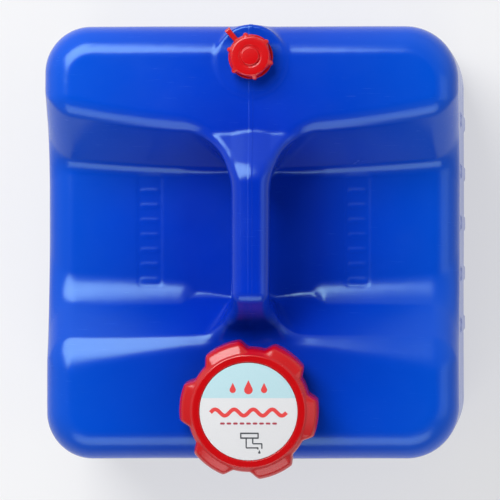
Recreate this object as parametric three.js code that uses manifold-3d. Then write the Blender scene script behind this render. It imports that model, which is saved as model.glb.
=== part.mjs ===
// Rigid water jerry can: blow-moulded body with a bridge handle, a large screw cap
// that stores the tap inside the can, and a small tethered vent cap.
// Millimetres. +Z up, +X right, +Y towards the vent. Origin: middle of the base.
import * as THREE from "three";
import { mergeVertices } from "three/addons/utils/BufferGeometryUtils.js";
import Module from "manifold-3d";

const wasm = await Module();
wasm.setup();

// ---- Can body ----
const CAN_WIDTH = 279;
const CAN_DEPTH = 292;
const WALL = 2.4;
const CORNER_RADIUS = 34; // upright corners
const SIDE_EDGE_RADIUS = 18; // top edges along the two sides
const END_EDGE_RADIUS = 22; // top edges at front and rear
const BASE_EDGE_RADIUS = 20;
const RIDGE_TOP = 370; // rear ridge that carries the vent
const SHOULDER_TOP = 350; // front shoulder that carries the tap cap
const VALLEY_FLOOR = 320; // hand valleys on both sides of the handle
const RIDGE_EDGE_Y = 81; // where the ridge breaks over into the valley
const VALLEY_REAR_Y = 49;
const VALLEY_FRONT_Y = -39;
const SHOULDER_EDGE_Y = -65;
const CREST_RADIUS = 19;
const FOOT_RADIUS = 12;
const LOWER_BLOCK_TOP = 262;
const UPPER_BLOCK_BOTTOM = 200;

// ---- Handle ----
const HANDLE_TOP = 387;
const HANDLE_THICKNESS = 26;
const HANDLE_WIDTH = 26;
const HANDLE_EDGE_RADIUS = 7;
const HANDLE_REAR_Y = 42; // the level grip runs between these two
const HANDLE_FRONT_Y = -38;
const GAP_REAR_Y = 45; // finger gap under the grip
const GAP_FRONT_Y = -36;
const GAP_RADIUS = 14;
const REAR_FLARE_RADIUS = 37;
const FRONT_FLARE_RADIUS = 25;
const REAR_FLARE = { fromY: 45, radius: REAR_FLARE_RADIUS, run: 10 }; // run: straight past the arc
const FRONT_FLARE = { fromY: -42, radius: FRONT_FLARE_RADIUS, run: 6 };
const FLARE_ROOT = 8; // how far the flares reach below the valley floor
const BRIDGE_ROOT = 12; // how far the bridge reaches below the valley floor and past its slopes
const REAR_SLOPE = { endY: 75, crest: 30, foot: 25 }; // grip down to the ridge
const FRONT_SLOPE = { endY: -62, crest: 20, foot: 10 }; // grip down to the shoulder

// ---- Ribs ----
const SIDE_RIB_COUNT = 5;
const SIDE_RIB_PITCH = 35;
const SIDE_RIB_CENTRE_Y = 14;
const SIDE_RIB_SIZE = { width: 10, bottom: 70, top: 285, proud: 1.2 };
const GRIP_RIB_COUNT = 7;
const GRIP_RIB_PITCH = 10;
const GRIP_RIB_SIZE = { length: 15, width: 3.4, proud: 1, centreX: 69 };

// ---- Tap cap end ----
const TAP_X = -1;
const TAP_Y = -110.6; // centre of the seat that the neck stands on
const TAP_SEAT_Z = 354;
const TAP_TILT = 4.5; // degrees that the neck and cap lean forward
const TAP_BOSS = { radius: 34, top: TAP_SEAT_Z, bottom: 285, fade: 45 };
const TAP_NECK = { radius: 31.3, bore: 26, top: 379.2 };
const TAP_THREAD = { crest: 32.4, height: 3, pitch: 6, turns: 2, start: 361 };
const TAP_CAP = {
  bottom: 355.5,
  top: 385,
  rimRadius: 38.5,
  notchRadius: 41,
  lobeRadius: 47,
  lobeCount: 6,
  firstLobe: -7,
  lobeHalfAngle: 20,
  innerRadius: 33,
  plate: 3,
  collarRadius: 17,
  collarBore: 13.2,
  collarBottom: 369,
};
const CAP_GASKET = { outer: 32.6, inner: 24.5, thickness: 2.4 };
const LABEL = { radius: 32.8, thickness: 0.4, gap: 0.1 };
const CAP_FLANK = 7; // degrees that each lobe's side slopes inwards
const CAP_EDGE = { foot: 0.8, footRise: 2, side: 0.5, shoulderDrop: 11, slopeOut: 2, slopeDrop: 4, rim: 1.2 };

// ---- Stored tap, hanging from the cap ----
const TAP_STUB_RADIUS = 12.8;
const TAP_FLANGE = { radius: 21, top: 367, thickness: 3.5 };
const TAP_WASHER = { outer: 19, inner: 13.1, thickness: 1.6 };
const TAP_TUBE = { outer: 10, bore: 6.5 };
const TAP_CHAMBER = { centreZ: 318, radius: 13, halfLength: 12.5, bore: 8.5 };
const TAP_SPOUT = { outer: 8, bore: 6, reach: 22.5 };
const PLUG = { radius: 8.2, port: 5.2, headRadius: 10, headThickness: 2 };
const PLUG_GROOVE = { y: 8.6, half: 1, depth: 1.5 };
const PLUG_STUB = { radius: 4, proud: 0.6 }; // carries the lever
const SEAL_RING = { ring: 7.6, cord: 0.75 };
const LEVER = { radius: 8, length: 20, thickness: 4, tipWidth: 10, tipRadius: 3, edge: 0.8 };
const LEVER_NECK = 20; // degrees above level where the round hub runs into the blade

// ---- Vent ----
const VENT_Y = 125;
const VENT_BOSS = { radius: 24, centreY: 123, top: 370.3, bottom: 315, fade: 35 };
const VENT_NECK = { radius: 10.6, bore: 6.5, top: 382 };
const VENT_THREAD = { crest: 11.3, height: 1.6, pitch: 3, turns: 2, start: 374.6 };
const VENT_CAP = {
  bottom: 374.2,
  top: 386,
  radius: 14.5,
  lobeReach: 16.6,
  lobeRadius: 1.7,
  lobeCount: 6,
  firstLobe: 39,
  innerRadius: 11.7,
  plate: 2.2,
  buttonRadius: 6,
  buttonFlare: 0.4,
  buttonDraft: 0.2,
  buttonTop: 387,
  chamfer: 1.4,
  lobeDrop: 2,
  lobeSteps: 12,
};
const VENT_SEAL = { radius: 11.2, thickness: 1.4 };
const TETHER_RING = { inner: 11.6, outer: 15, thickness: 1.6 };
const TETHER_LOWER_Z = 370.3;
const TETHER_UPPER_Z = 372.5;
const STRAP = { width: 3.6, thickness: 1.1, reach: 24.5, angle: 131 };

const FIT_GAP = 0.3;
const SEAL_GAP = 0.05;
const WASHER_GAP = 0.1;
const OVERSHOOT = 1; // how far a cutting solid runs past the face it cuts
const BOSS_DRAFT = 6; // how much narrower a boss is where it fades out
const THREAD_BITE = 0.8; // how deep a thread's root sits in the neck
const THREAD_CREST_HALF = 0.25;
const THREAD_STEPS = 20; // chords per turn
const THREAD_FADE = { steps: 3, least: 0.1 }; // how the two ends run out
const ARC_STEPS = 2; // half the chords along a rounded corner
const EDGE_STEPS = 3;
const ROUND_STEPS = 32; // chords round a turned piece
const SMALL_ROUND_STEPS = 20;
const DEGREE = Math.PI / 180;

const bluePolyethylene = plastic(0x0a3cc8, 0.34);
const redPolypropylene = plastic(0xd81418, 0.36);
const whiteAcetal = plastic(0xe9ebe6, 0.4);
const blueLever = plastic(0x1f6fd6, 0.38);
const blackRubber = plastic(0x1c1d1f, 0.75);
const paleFoam = plastic(0xdcdfda, 0.8);
const labelStock = plastic(0xe2e8e9, 0.5);

function plastic(color, roughness) {
  return new THREE.MeshStandardMaterial({ color, roughness, metalness: 0 });
}

// ---- Solids from three.js geometry ----

/** Turns a closed three.js geometry into a solid that can be joined and cut. */
function solidOf(geometry) {
  const bare = geometry.index ? geometry.toNonIndexed() : geometry.clone();
  for (const name of Object.keys(bare.attributes)) {
    if (name !== "position") bare.deleteAttribute(name);
  }
  const merged = mergeVertices(bare, 1e-4);
  const triangles = [];
  const corners = merged.index.array;
  for (let i = 0; i < corners.length; i += 3) {
    const [a, b, c] = corners.slice(i, i + 3);
    if (a !== b && b !== c && c !== a) triangles.push(a, b, c);
  }
  return new wasm.Manifold(
    new wasm.Mesh({
      numProp: 3,
      vertProperties: Float32Array.from(merged.attributes.position.array),
      triVerts: Uint32Array.from(triangles),
    }),
  );
}

/** A named mesh of a finished solid. */
function piece(name, solid, material) {
  const { vertProperties, triVerts } = solid.getMesh();
  const geometry = new THREE.BufferGeometry();
  geometry.setAttribute("position", new THREE.BufferAttribute(vertProperties, 3));
  geometry.setIndex(new THREE.BufferAttribute(triVerts, 1));
  geometry.computeVertexNormals();
  const mesh = new THREE.Mesh(geometry, material);
  mesh.name = name;
  return mesh;
}

function join(solids) {
  return solids.reduce((whole, next) => whole.add(next));
}

/** Closed outline through corners [x, y, radius], each rounded by a true arc. */
function roundedOutline(corners) {
  const outline = new THREE.Shape();
  corners.forEach(([x, y, radius], index) => {
    const corner = new THREE.Vector2(x, y);
    const goTo = (spot) => (index ? outline.lineTo(spot.x, spot.y) : outline.moveTo(spot.x, spot.y));
    if (!radius) {
      goTo(corner);
      return;
    }
    const before = corners.at(index - 1);
    const after = corners[(index + 1) % corners.length];
    const back = new THREE.Vector2(before[0] - x, before[1] - y).normalize();
    const ahead = new THREE.Vector2(after[0] - x, after[1] - y).normalize();
    const halfAngle = Math.acos(back.dot(ahead)) / 2;
    const centre = back.clone().add(ahead).setLength(radius / Math.sin(halfAngle)).add(corner);
    const reach = radius / Math.tan(halfAngle);
    const start = back.multiplyScalar(reach).add(corner).sub(centre);
    const end = ahead.multiplyScalar(reach).add(corner).sub(centre);
    const clockwise = start.cross(end) < 0;
    goTo(start.clone().add(centre));
    outline.absarc(centre.x, centre.y, radius, start.angle(), end.angle(), clockwise);
  });
  outline.closePath();
  return outline;
}

/** Rounded rectangle about the origin. */
function roundedRectangle(width, depth, radius) {
  const x = width / 2;
  const y = depth / 2;
  return roundedOutline([[x, -y, radius], [x, y, radius], [-x, y, radius], [-x, -y, radius]]);
}

/** Bar outline along the first axis with half-round ends. */
function stadium(length, width) {
  const radius = width / 2;
  const reach = length / 2 - radius;
  const outline = new THREE.Shape();
  outline.absarc(reach, 0, radius, -90 * DEGREE, 90 * DEGREE, false);
  outline.absarc(-reach, 0, radius, 90 * DEGREE, 270 * DEGREE, false);
  outline.closePath();
  return outline;
}

/** Straight prism of an outline along +Z, its sides grown by `grow`. */
function prism(outline, bottom, top, grow = 0) {
  const geometry = new THREE.ExtrudeGeometry(outline, {
    depth: top - bottom,
    curveSegments: ARC_STEPS,
    bevelEnabled: grow !== 0,
    bevelThickness: 0,
    bevelSize: 0,
    bevelOffset: grow,
    bevelSegments: 1,
  });
  return solidOf(geometry.translate(0, 0, bottom));
}

/** Prism along +Z whose two end edges are rounded, shrunk on every side by `inset`. */
function roundedPrism(outline, bottom, top, edgeRadius, inset = 0) {
  const radius = Math.max(edgeRadius - inset, 0.5);
  const geometry = new THREE.ExtrudeGeometry(outline, {
    depth: top - bottom - 2 * inset - 2 * radius,
    curveSegments: ARC_STEPS,
    bevelThickness: radius,
    bevelSize: radius,
    bevelOffset: -radius - inset,
    bevelSegments: EDGE_STEPS,
  });
  return solidOf(geometry.translate(0, 0, bottom + inset + radius));
}

/** Stands a prism of a (y, z) outline up so that it runs along X, centred on x = 0. */
function alongX(solid, length) {
  return solid.translate([0, 0, -length / 2]).rotate([90, 0, 90]);
}

/** Solid of revolution about Z from [radius, height] points on the axis or closed. */
function turned(profile, steps = ROUND_STEPS) {
  const points = profile.map(([radius, height]) => new THREE.Vector2(radius, height));
  return solidOf(new THREE.LatheGeometry(points, steps).rotateX(Math.PI / 2));
}

/** Upright cylinder. */
function post(radius, bottom, top, steps = ROUND_STEPS) {
  return turned([[0, bottom], [radius, bottom], [radius, top], [0, top]], steps);
}

/** Ring with a square section. */
function washer(inner, outer, bottom, top, steps = ROUND_STEPS) {
  return turned(
    [[inner, bottom], [outer, bottom], [outer, top], [inner, top], [inner, bottom]],
    steps,
  );
}

/** Screw thread of triangular section wound round the Z axis. */
function threadRidge({ crest, height, pitch, turns, start }, rootRadius) {
  class Helix extends THREE.Curve {
    getPoint(t, target = new THREE.Vector3()) {
      const angle = t * turns * 2 * Math.PI;
      const z = start + t * turns * pitch;
      return target.set(rootRadius * Math.cos(angle), rootRadius * Math.sin(angle), z);
    }
  }
  const steps = THREAD_STEPS * turns;
  const section = [
    [-THREAD_BITE, -height / 2],
    [crest - rootRadius, -THREAD_CREST_HALF],
    [crest - rootRadius, THREAD_CREST_HALF],
    [-THREAD_BITE, height / 2],
  ];
  const path = new Helix();
  const rings = [];
  for (let i = 0; i <= steps; i += 1) {
    const spot = path.getPoint(i / steps);
    const outward = new THREE.Vector3(spot.x, spot.y, 0).normalize();
    const inward = Math.min(1, i / THREAD_FADE.steps, (steps - i) / THREAD_FADE.steps);
    const fade = inward * (1 - THREAD_FADE.least) + THREAD_FADE.least;
    rings.push(section.map(([out, up]) => {
      const reach = out > 0 ? out * fade : out;
      return spot.clone().addScaledVector(outward, reach).add(new THREE.Vector3(0, 0, up));
    }));
  }
  const positions = [];
  const quad = (a, b, c, d) => [a, b, c, a, c, d].forEach((p) => positions.push(p.x, p.y, p.z));
  for (let i = 0; i < steps; i += 1) {
    for (let j = 0; j < 4; j += 1) {
      const k = (j + 1) % 4;
      quad(rings[i][j], rings[i + 1][j], rings[i + 1][k], rings[i][k]);
    }
  }
  quad(...rings[0]);
  quad(...rings[steps].toReversed());
  const geometry = new THREE.BufferGeometry();
  geometry.setAttribute("position", new THREE.Float32BufferAttribute(positions, 3));
  return solidOf(geometry);
}

// ---- Can body ----

/** Side view (y, z) of the upper can: rear ridge, hand valley and front shoulder. */
function upperProfile() {
  const rear = CAN_DEPTH / 2;
  return roundedOutline([
    [rear, UPPER_BLOCK_BOTTOM, 0],
    [rear, RIDGE_TOP, END_EDGE_RADIUS],
    [RIDGE_EDGE_Y, RIDGE_TOP, CREST_RADIUS],
    [VALLEY_REAR_Y, VALLEY_FLOOR, FOOT_RADIUS],
    [VALLEY_FRONT_Y, VALLEY_FLOOR, FOOT_RADIUS],
    [SHOULDER_EDGE_Y, SHOULDER_TOP, CREST_RADIUS],
    [-rear, SHOULDER_TOP, END_EDGE_RADIUS],
    [-rear, UPPER_BLOCK_BOTTOM, 0],
  ]);
}

/** Side view (y, z) of the handle bridge, with the finger gap open to the valley floor. */
function bridgeProfile() {
  const underside = HANDLE_TOP - HANDLE_THICKNESS;
  const foot = VALLEY_FLOOR - BRIDGE_ROOT;
  return roundedOutline([
    [RIDGE_EDGE_Y + BRIDGE_ROOT, foot, 0],
    [RIDGE_EDGE_Y + BRIDGE_ROOT, RIDGE_TOP, 0],
    [REAR_SLOPE.endY, RIDGE_TOP, REAR_SLOPE.foot],
    [HANDLE_REAR_Y, HANDLE_TOP, REAR_SLOPE.crest],
    [HANDLE_FRONT_Y, HANDLE_TOP, FRONT_SLOPE.crest],
    [FRONT_SLOPE.endY, SHOULDER_TOP, FRONT_SLOPE.foot],
    [SHOULDER_EDGE_Y - BRIDGE_ROOT, SHOULDER_TOP, 0],
    [SHOULDER_EDGE_Y - BRIDGE_ROOT, foot, 0],
    [GAP_FRONT_Y, foot, 0],
    [GAP_FRONT_Y, underside, GAP_RADIUS],
    [GAP_REAR_Y, underside, GAP_RADIUS],
    [GAP_REAR_Y, foot, 0],
  ]);
}

/** Plan of the widening where the handle runs into the ridge or the shoulder. */
function flarePlan({ fromY, radius, run }) {
  const half = HANDLE_WIDTH / 2;
  const towardsRear = fromY > 0;
  const sign = towardsRear ? 1 : -1;
  const far = fromY + sign * radius;
  const outline = new THREE.Shape();
  const wide = half + radius;
  outline.moveTo(-wide, far + sign * run);
  outline.lineTo(wide, far + sign * run);
  outline.lineTo(wide, far);
  outline.absarc(wide, fromY, radius, sign * 90 * DEGREE, Math.PI, !towardsRear);
  outline.lineTo(-half, fromY);
  outline.absarc(-wide, fromY, radius, 0, sign * 90 * DEGREE, !towardsRear);
  outline.closePath();
  return outline;
}

/** Round boss that fades into the wall below it. */
function boss({ radius, bottom, fade, top }, inset) {
  const edge = radius - inset;
  return turned([
    [0, bottom],
    [edge - BOSS_DRAFT, bottom],
    [edge, bottom + fade],
    [edge, top - inset],
    [0, top - inset],
  ]);
}

/** The whole can as a plain solid, shrunk on every side by `inset`. */
function canSolid(inset) {
  const plan = roundedRectangle(CAN_WIDTH, CAN_DEPTH, CORNER_RADIUS);
  const lower = roundedPrism(plan, 0, LOWER_BLOCK_TOP, BASE_EDGE_RADIUS, inset);
  const upper = alongX(
    roundedPrism(upperProfile(), 0, CAN_WIDTH, SIDE_EDGE_RADIUS, inset),
    CAN_WIDTH,
  ).intersect(prism(plan, UPPER_BLOCK_BOTTOM - OVERSHOOT, HANDLE_TOP, -inset));
  const grip = alongX(
    roundedPrism(bridgeProfile(), 0, HANDLE_WIDTH, HANDLE_EDGE_RADIUS, inset),
    HANDLE_WIDTH,
  );
  const wide = 2 * (HANDLE_WIDTH / 2 + REAR_FLARE_RADIUS);
  const bridge = alongX(roundedPrism(bridgeProfile(), 0, wide, 1 + inset, inset), wide);
  const flares = [REAR_FLARE, FRONT_FLARE]
    .map(flarePlan)
    .map((outline) => prism(outline, VALLEY_FLOOR - FLARE_ROOT, HANDLE_TOP, -inset))
    .map((flare) => flare.intersect(bridge));
  const tapBoss = boss(TAP_BOSS, inset);
  const ventBoss = boss(VENT_BOSS, inset);
  return join([
    lower,
    upper,
    grip,
    ...flares,
    leaned(tapBoss),
    ventBoss.translate([0, VENT_BOSS.centreY, 0]),
  ]);
}

/** Upright stiffening ribs, each one bar that stands proud of both side walls. */
function sideRibs() {
  const { width, bottom, top, proud } = SIDE_RIB_SIZE;
  const length = CAN_WIDTH + 2 * proud;
  const bar = roundedPrism(stadium(top - bottom, width), 0, length, proud);
  const rib = alongX(bar.rotate([0, 0, 90]), length);
  const first = SIDE_RIB_CENTRE_Y - ((SIDE_RIB_COUNT - 1) / 2) * SIDE_RIB_PITCH;
  return join(
    Array.from({ length: SIDE_RIB_COUNT }, (_, i) =>
      rib.translate([0, first + i * SIDE_RIB_PITCH, (bottom + top) / 2])),
  );
}

/** Ladders of small grip ribs on the two valley floors. */
function gripRibs() {
  const { length, width, proud, centreX } = GRIP_RIB_SIZE;
  const rib = prism(stadium(length, width), VALLEY_FLOOR - 1, VALLEY_FLOOR + proud);
  const first = (VALLEY_REAR_Y + VALLEY_FRONT_Y) / 2 - ((GRIP_RIB_COUNT - 1) / 2) * GRIP_RIB_PITCH;
  const ribs = [];
  for (const side of [-1, 1]) {
    for (let i = 0; i < GRIP_RIB_COUNT; i += 1) {
      ribs.push(rib.translate([side * centreX, first + i * GRIP_RIB_PITCH, 0]));
    }
  }
  return join(ribs);
}

/** Threaded neck with its bore, standing on a boss. */
function neck(size, thread, bottom) {
  const tube = washer(size.bore, size.radius, bottom, size.top);
  return tube.add(threadRidge(thread, size.radius));
}

function canBody() {
  const hollow = canSolid(WALL);
  const tapNeck = neck(TAP_NECK, TAP_THREAD, TAP_BOSS.top - WALL);
  const ventNeck = neck(VENT_NECK, VENT_THREAD, RIDGE_TOP - WALL);
  const tapBore = post(TAP_NECK.bore, TAP_BOSS.bottom + 5, TAP_NECK.top + 1);
  const ventBore = post(VENT_NECK.bore, RIDGE_TOP - 10, VENT_NECK.top + 1);
  const body = canSolid(0)
    .add(sideRibs())
    .add(gripRibs())
    .subtract(hollow)
    .add(leaned(tapNeck))
    .add(ventNeck.translate([0, VENT_Y, 0]))
    .subtract(leaned(tapBore))
    .subtract(ventBore.translate([0, VENT_Y, 0]));
  return piece("can_body", body, bluePolyethylene);
}

// ---- Tap cap and what turns with it, about the Z axis of its own group ----

/** Plan of the cap: a circle with six broad grip lobes that have sloped flanks. */
function lobedPlan() {
  const { notchRadius, lobeRadius, lobeCount, firstLobe, lobeHalfAngle } = TAP_CAP;
  const outline = new THREE.Shape();
  const flank = CAP_FLANK * DEGREE;
  for (let i = 0; i < lobeCount; i += 1) {
    const middle = (firstLobe + (i * 360) / lobeCount) * DEGREE;
    const half = lobeHalfAngle * DEGREE;
    const next = middle + (360 / lobeCount) * DEGREE;
    const corner = lobeRadius * Math.cos(middle - half + flank);
    if (i === 0) outline.moveTo(corner, lobeRadius * Math.sin(middle - half + flank));
    outline.absarc(0, 0, lobeRadius, middle - half + flank, middle + half - flank, false);
    outline.absarc(0, 0, notchRadius, middle + half, next - half, false);
  }
  outline.closePath();
  return outline;
}

function tapCap() {
  const { bottom, top, rimRadius, lobeRadius, innerRadius, plate } = TAP_CAP;
  const envelope = turned([
    [0, bottom],
    [lobeRadius - CAP_EDGE.foot, bottom],
    [lobeRadius + CAP_EDGE.side, bottom + CAP_EDGE.footRise],
    [lobeRadius + CAP_EDGE.side, top - CAP_EDGE.shoulderDrop],
    [rimRadius + CAP_EDGE.slopeOut, top - CAP_EDGE.slopeDrop],
    [rimRadius, top - CAP_EDGE.rim],
    [rimRadius - CAP_EDGE.rim, top],
    [0, top],
  ]);
  const { collarBore, collarRadius, collarBottom } = TAP_CAP;
  const skirtHollow = post(innerRadius, bottom - OVERSHOOT, top - plate);
  const collar = washer(collarBore, collarRadius, collarBottom, top - OVERSHOOT);
  const stubHole = post(collarBore, collarBottom - OVERSHOOT, top + OVERSHOOT, SMALL_ROUND_STEPS);
  const shape = prism(lobedPlan(), bottom, top)
    .intersect(envelope)
    .subtract(skirtHollow)
    .add(collar)
    .subtract(stubHole);
  return piece("tap_cap", shape, redPolypropylene);
}

function tapLabel() {
  const bottom = TAP_CAP.top + LABEL.gap;
  return piece("tap_label", post(LABEL.radius, bottom, bottom + LABEL.thickness), labelStock);
}

function capGasket() {
  const top = TAP_CAP.top - TAP_CAP.plate - SEAL_GAP;
  const { inner, outer, thickness } = CAP_GASKET;
  return piece("tap_cap_gasket", washer(inner, outer, top - thickness, top), paleFoam);
}

function tapWasher() {
  const bottom = TAP_FLANGE.top + WASHER_GAP;
  const { inner, outer, thickness } = TAP_WASHER;
  return piece("tap_washer", washer(inner, outer, bottom, bottom + thickness), blackRubber);
}

/** Lays an upright solid over so that +Z becomes the given horizontal direction. */
function laid(solid, towardsX) {
  return towardsX ? solid.rotate([0, 90, 0]) : solid.rotate([-90, 0, 0]);
}

function tapBody() {
  const { centreZ, radius, halfLength, bore } = TAP_CHAMBER;
  const flangeBottom = TAP_FLANGE.top - TAP_FLANGE.thickness;
  const stub = post(TAP_STUB_RADIUS, flangeBottom, TAP_CAP.top - 2, SMALL_ROUND_STEPS);
  const flange = post(TAP_FLANGE.radius, flangeBottom, TAP_FLANGE.top);
  const tube = post(TAP_TUBE.outer, centreZ, TAP_FLANGE.top, SMALL_ROUND_STEPS);
  const chamber = laid(post(radius, -halfLength, halfLength, SMALL_ROUND_STEPS), false);
  const cut = halfLength + OVERSHOOT;
  const chamberBore = laid(post(bore, -cut, cut, SMALL_ROUND_STEPS), false);
  const spout = laid(post(TAP_SPOUT.outer, 0, TAP_SPOUT.reach, SMALL_ROUND_STEPS), true);
  const spoutEnd = TAP_SPOUT.reach + OVERSHOOT;
  const spoutBore = laid(post(TAP_SPOUT.bore, 0, spoutEnd, SMALL_ROUND_STEPS), true);
  const tubeBore = post(TAP_TUBE.bore, centreZ, TAP_CAP.top, SMALL_ROUND_STEPS);
  const lift = [0, 0, centreZ];
  const shape = join([stub, flange, tube, chamber.translate(lift), spout.translate(lift)])
    .subtract(chamberBore.translate(lift))
    .subtract(spoutBore.translate(lift))
    .subtract(tubeBore);
  return piece("tap_body", shape, whiteAcetal);
}

/** Valve plug: a barrel across the chamber with an elbow port, turned to its closed side. */
function tapPlug() {
  const { radius, port, headRadius, headThickness } = PLUG;
  const end = TAP_CHAMBER.halfLength;
  const root = radius - PLUG_GROOVE.depth;
  const grooveOut = PLUG_GROOVE.y + PLUG_GROOVE.half;
  const grooveIn = PLUG_GROOVE.y - PLUG_GROOVE.half;
  const stubEnd = -end - headThickness - LEVER.thickness - PLUG_STUB.proud;
  const barrel = laid(
    turned(
      [
        [0, stubEnd],
        [PLUG_STUB.radius, stubEnd],
        [PLUG_STUB.radius, -end - FIT_GAP],
        [radius, -end - FIT_GAP],
        [radius, -grooveOut],
        [root, -grooveOut],
        [root, -grooveIn],
        [radius, -grooveIn],
        [radius, grooveIn],
        [root, grooveIn],
        [root, grooveOut],
        [radius, grooveOut],
        [radius, end + FIT_GAP],
        [headRadius, end + FIT_GAP],
        [headRadius, end + FIT_GAP + headThickness],
        [0, end + FIT_GAP + headThickness],
      ],
      SMALL_ROUND_STEPS,
    ),
    false,
  );
  const upPort = post(port, 0, radius + OVERSHOOT, SMALL_ROUND_STEPS);
  const sidePort = laid(upPort, true).mirror([1, 0, 0]);
  const shape = barrel.subtract(upPort).subtract(sidePort).translate([0, 0, TAP_CHAMBER.centreZ]);
  return piece("tap_plug", shape, whiteAcetal);
}

/** O-ring in one of the plug's two grooves. */
function plugSeal(name, y) {
  const { ring, cord } = SEAL_RING;
  const sides = 8;
  const profile = Array.from({ length: sides + 1 }, (_, i) => {
    const angle = (i % sides) * ((2 * Math.PI) / sides);
    return [ring + cord * Math.cos(angle), cord * Math.sin(angle)];
  });
  const seal = laid(turned(profile, SMALL_ROUND_STEPS), false);
  return piece(name, seal.translate([0, y, TAP_CHAMBER.centreZ]), blackRubber);
}

/** Thumb lever pressed on the plug's end, standing up along the tube when closed. */
function tapLever() {
  const { radius, length, thickness, tipWidth, tipRadius, edge } = LEVER;
  const outline = new THREE.Shape();
  const tipX = tipWidth / 2 - tipRadius;
  const tipY = length - tipRadius;
  outline.absarc(0, 0, radius, (180 - LEVER_NECK) * DEGREE, LEVER_NECK * DEGREE, false);
  outline.lineTo(tipWidth / 2, tipY);
  outline.absarc(tipX, tipY, tipRadius, 0, 90 * DEGREE, false);
  outline.absarc(-tipX, tipY, tipRadius, 90 * DEGREE, 180 * DEGREE, false);
  outline.closePath();
  const outerY = -TAP_CHAMBER.halfLength - PLUG.headThickness;
  const hole = PLUG_STUB.radius + FIT_GAP;
  const blade = roundedPrism(outline, 0, thickness, edge).rotate([90, 0, 0]);
  const socket = laid(post(hole, -thickness - OVERSHOOT, OVERSHOOT, SMALL_ROUND_STEPS), false);
  const shape = blade.subtract(socket).translate([0, outerY, TAP_CHAMBER.centreZ]);
  return piece("tap_lever", shape, blueLever);
}

/** The cap and what hangs from it, leaning forward about the middle of its seat. */
function tapCapGroup() {
  const group = new THREE.Group();
  group.position.z = -TAP_SEAT_Z;
  group.add(
    tapCap(),
    tapLabel(),
    capGasket(),
    tapWasher(),
    tapBody(),
    tapPlug(),
    plugSeal("plug_seal_front", -PLUG_GROOVE.y),
    plugSeal("plug_seal_rear", PLUG_GROOVE.y),
    tapLever(),
  );
  const leaning = new THREE.Group();
  leaning.position.set(TAP_X, TAP_Y, TAP_SEAT_Z);
  leaning.rotation.x = TAP_TILT * DEGREE;
  leaning.add(group);
  return leaning;
}

/** Leans a solid of the can's own the same way as the tap cap. */
function leaned(solid) {
  const upright = solid.translate([0, 0, -TAP_SEAT_Z]);
  return upright.rotate([TAP_TILT, 0, 0]).translate([TAP_X, TAP_Y, TAP_SEAT_Z]);
}

// ---- Vent cap and its tether ----

function ventCap() {
  const { bottom, top, radius, innerRadius, plate, chamfer } = VENT_CAP;
  const crown = turned([
    [0, bottom],
    [radius, bottom],
    [radius, top - chamfer],
    [radius - chamfer, top],
    [VENT_CAP.buttonRadius + VENT_CAP.buttonFlare, top],
    [VENT_CAP.buttonRadius - VENT_CAP.buttonDraft, VENT_CAP.buttonTop],
    [0, VENT_CAP.buttonTop],
  ]);
  const lobe = post(VENT_CAP.lobeRadius, bottom, top - VENT_CAP.lobeDrop, VENT_CAP.lobeSteps);
  const lobes = Array.from({ length: VENT_CAP.lobeCount }, (_, i) => {
    const angle = (VENT_CAP.firstLobe + (i * 360) / VENT_CAP.lobeCount) * DEGREE;
    const reach = VENT_CAP.lobeReach - VENT_CAP.lobeRadius;
    return lobe.translate([reach * Math.cos(angle), reach * Math.sin(angle), 0]);
  });
  const shape = join([crown, ...lobes]).subtract(post(innerRadius, bottom - OVERSHOOT, top - plate));
  return piece("vent_cap", shape, redPolypropylene);
}

function ventSeal() {
  const top = VENT_CAP.top - VENT_CAP.plate - SEAL_GAP;
  const seal = post(VENT_SEAL.radius, top - VENT_SEAL.thickness, top, SMALL_ROUND_STEPS);
  return piece("vent_cap_seal", seal, paleFoam);
}

function tetherRing(name, bottom) {
  const { inner, outer, thickness } = TETHER_RING;
  return piece(name, washer(inner, outer, bottom, bottom + thickness), redPolypropylene);
}

/** Flat strap folded back on itself, from the upper ring out and round to the lower one. */
function tetherStrap() {
  const { width, thickness, reach, angle } = STRAP;
  const upper = TETHER_UPPER_Z + TETHER_RING.thickness / 2;
  const lower = TETHER_LOWER_Z + TETHER_RING.thickness / 2;
  const start = TETHER_RING.outer + FIT_GAP;
  const bend = (upper - lower) / 2;
  const outline = new THREE.Shape();
  const outer = bend + thickness / 2;
  const inner = bend - thickness / 2;
  const bendX = reach - outer;
  const middle = (upper + lower) / 2;
  outline.moveTo(start, middle - outer);
  outline.lineTo(bendX, middle - outer);
  outline.absarc(bendX, middle, outer, -90 * DEGREE, 90 * DEGREE, false);
  outline.lineTo(start, middle + outer);
  outline.lineTo(start, middle + inner);
  outline.absarc(bendX, middle, inner, 90 * DEGREE, -90 * DEGREE, true);
  outline.lineTo(start, middle - inner);
  outline.closePath();
  const strap = prism(outline, -width / 2, width / 2).rotate([90, 0, 0]).rotate([0, 0, angle]);
  return piece("tether_strap", strap, redPolypropylene);
}

function ventGroup() {
  const group = new THREE.Group();
  group.position.set(0, VENT_Y, 0);
  group.add(
    ventCap(),
    ventSeal(),
    tetherRing("tether_neck_ring", TETHER_LOWER_Z + FIT_GAP),
    tetherRing("tether_cap_ring", TETHER_UPPER_Z),
    tetherStrap(),
  );
  return group;
}

const jerryCan = new THREE.Group();
jerryCan.add(canBody(), tapCapGroup(), ventGroup());

export default jerryCan;
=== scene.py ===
"""A rigid blue water can with a bridge handle, a lobed tap cap and a tethered vent cap.

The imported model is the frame. Every piece is built in millimetres in that frame and
turned into metres when its mesh is made. X runs across the can, Y from the tap cap
towards the vent cap, and Z up from the base that the can stands on.
"""

import logging
import math
from dataclasses import dataclass
from enum import Enum

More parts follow.
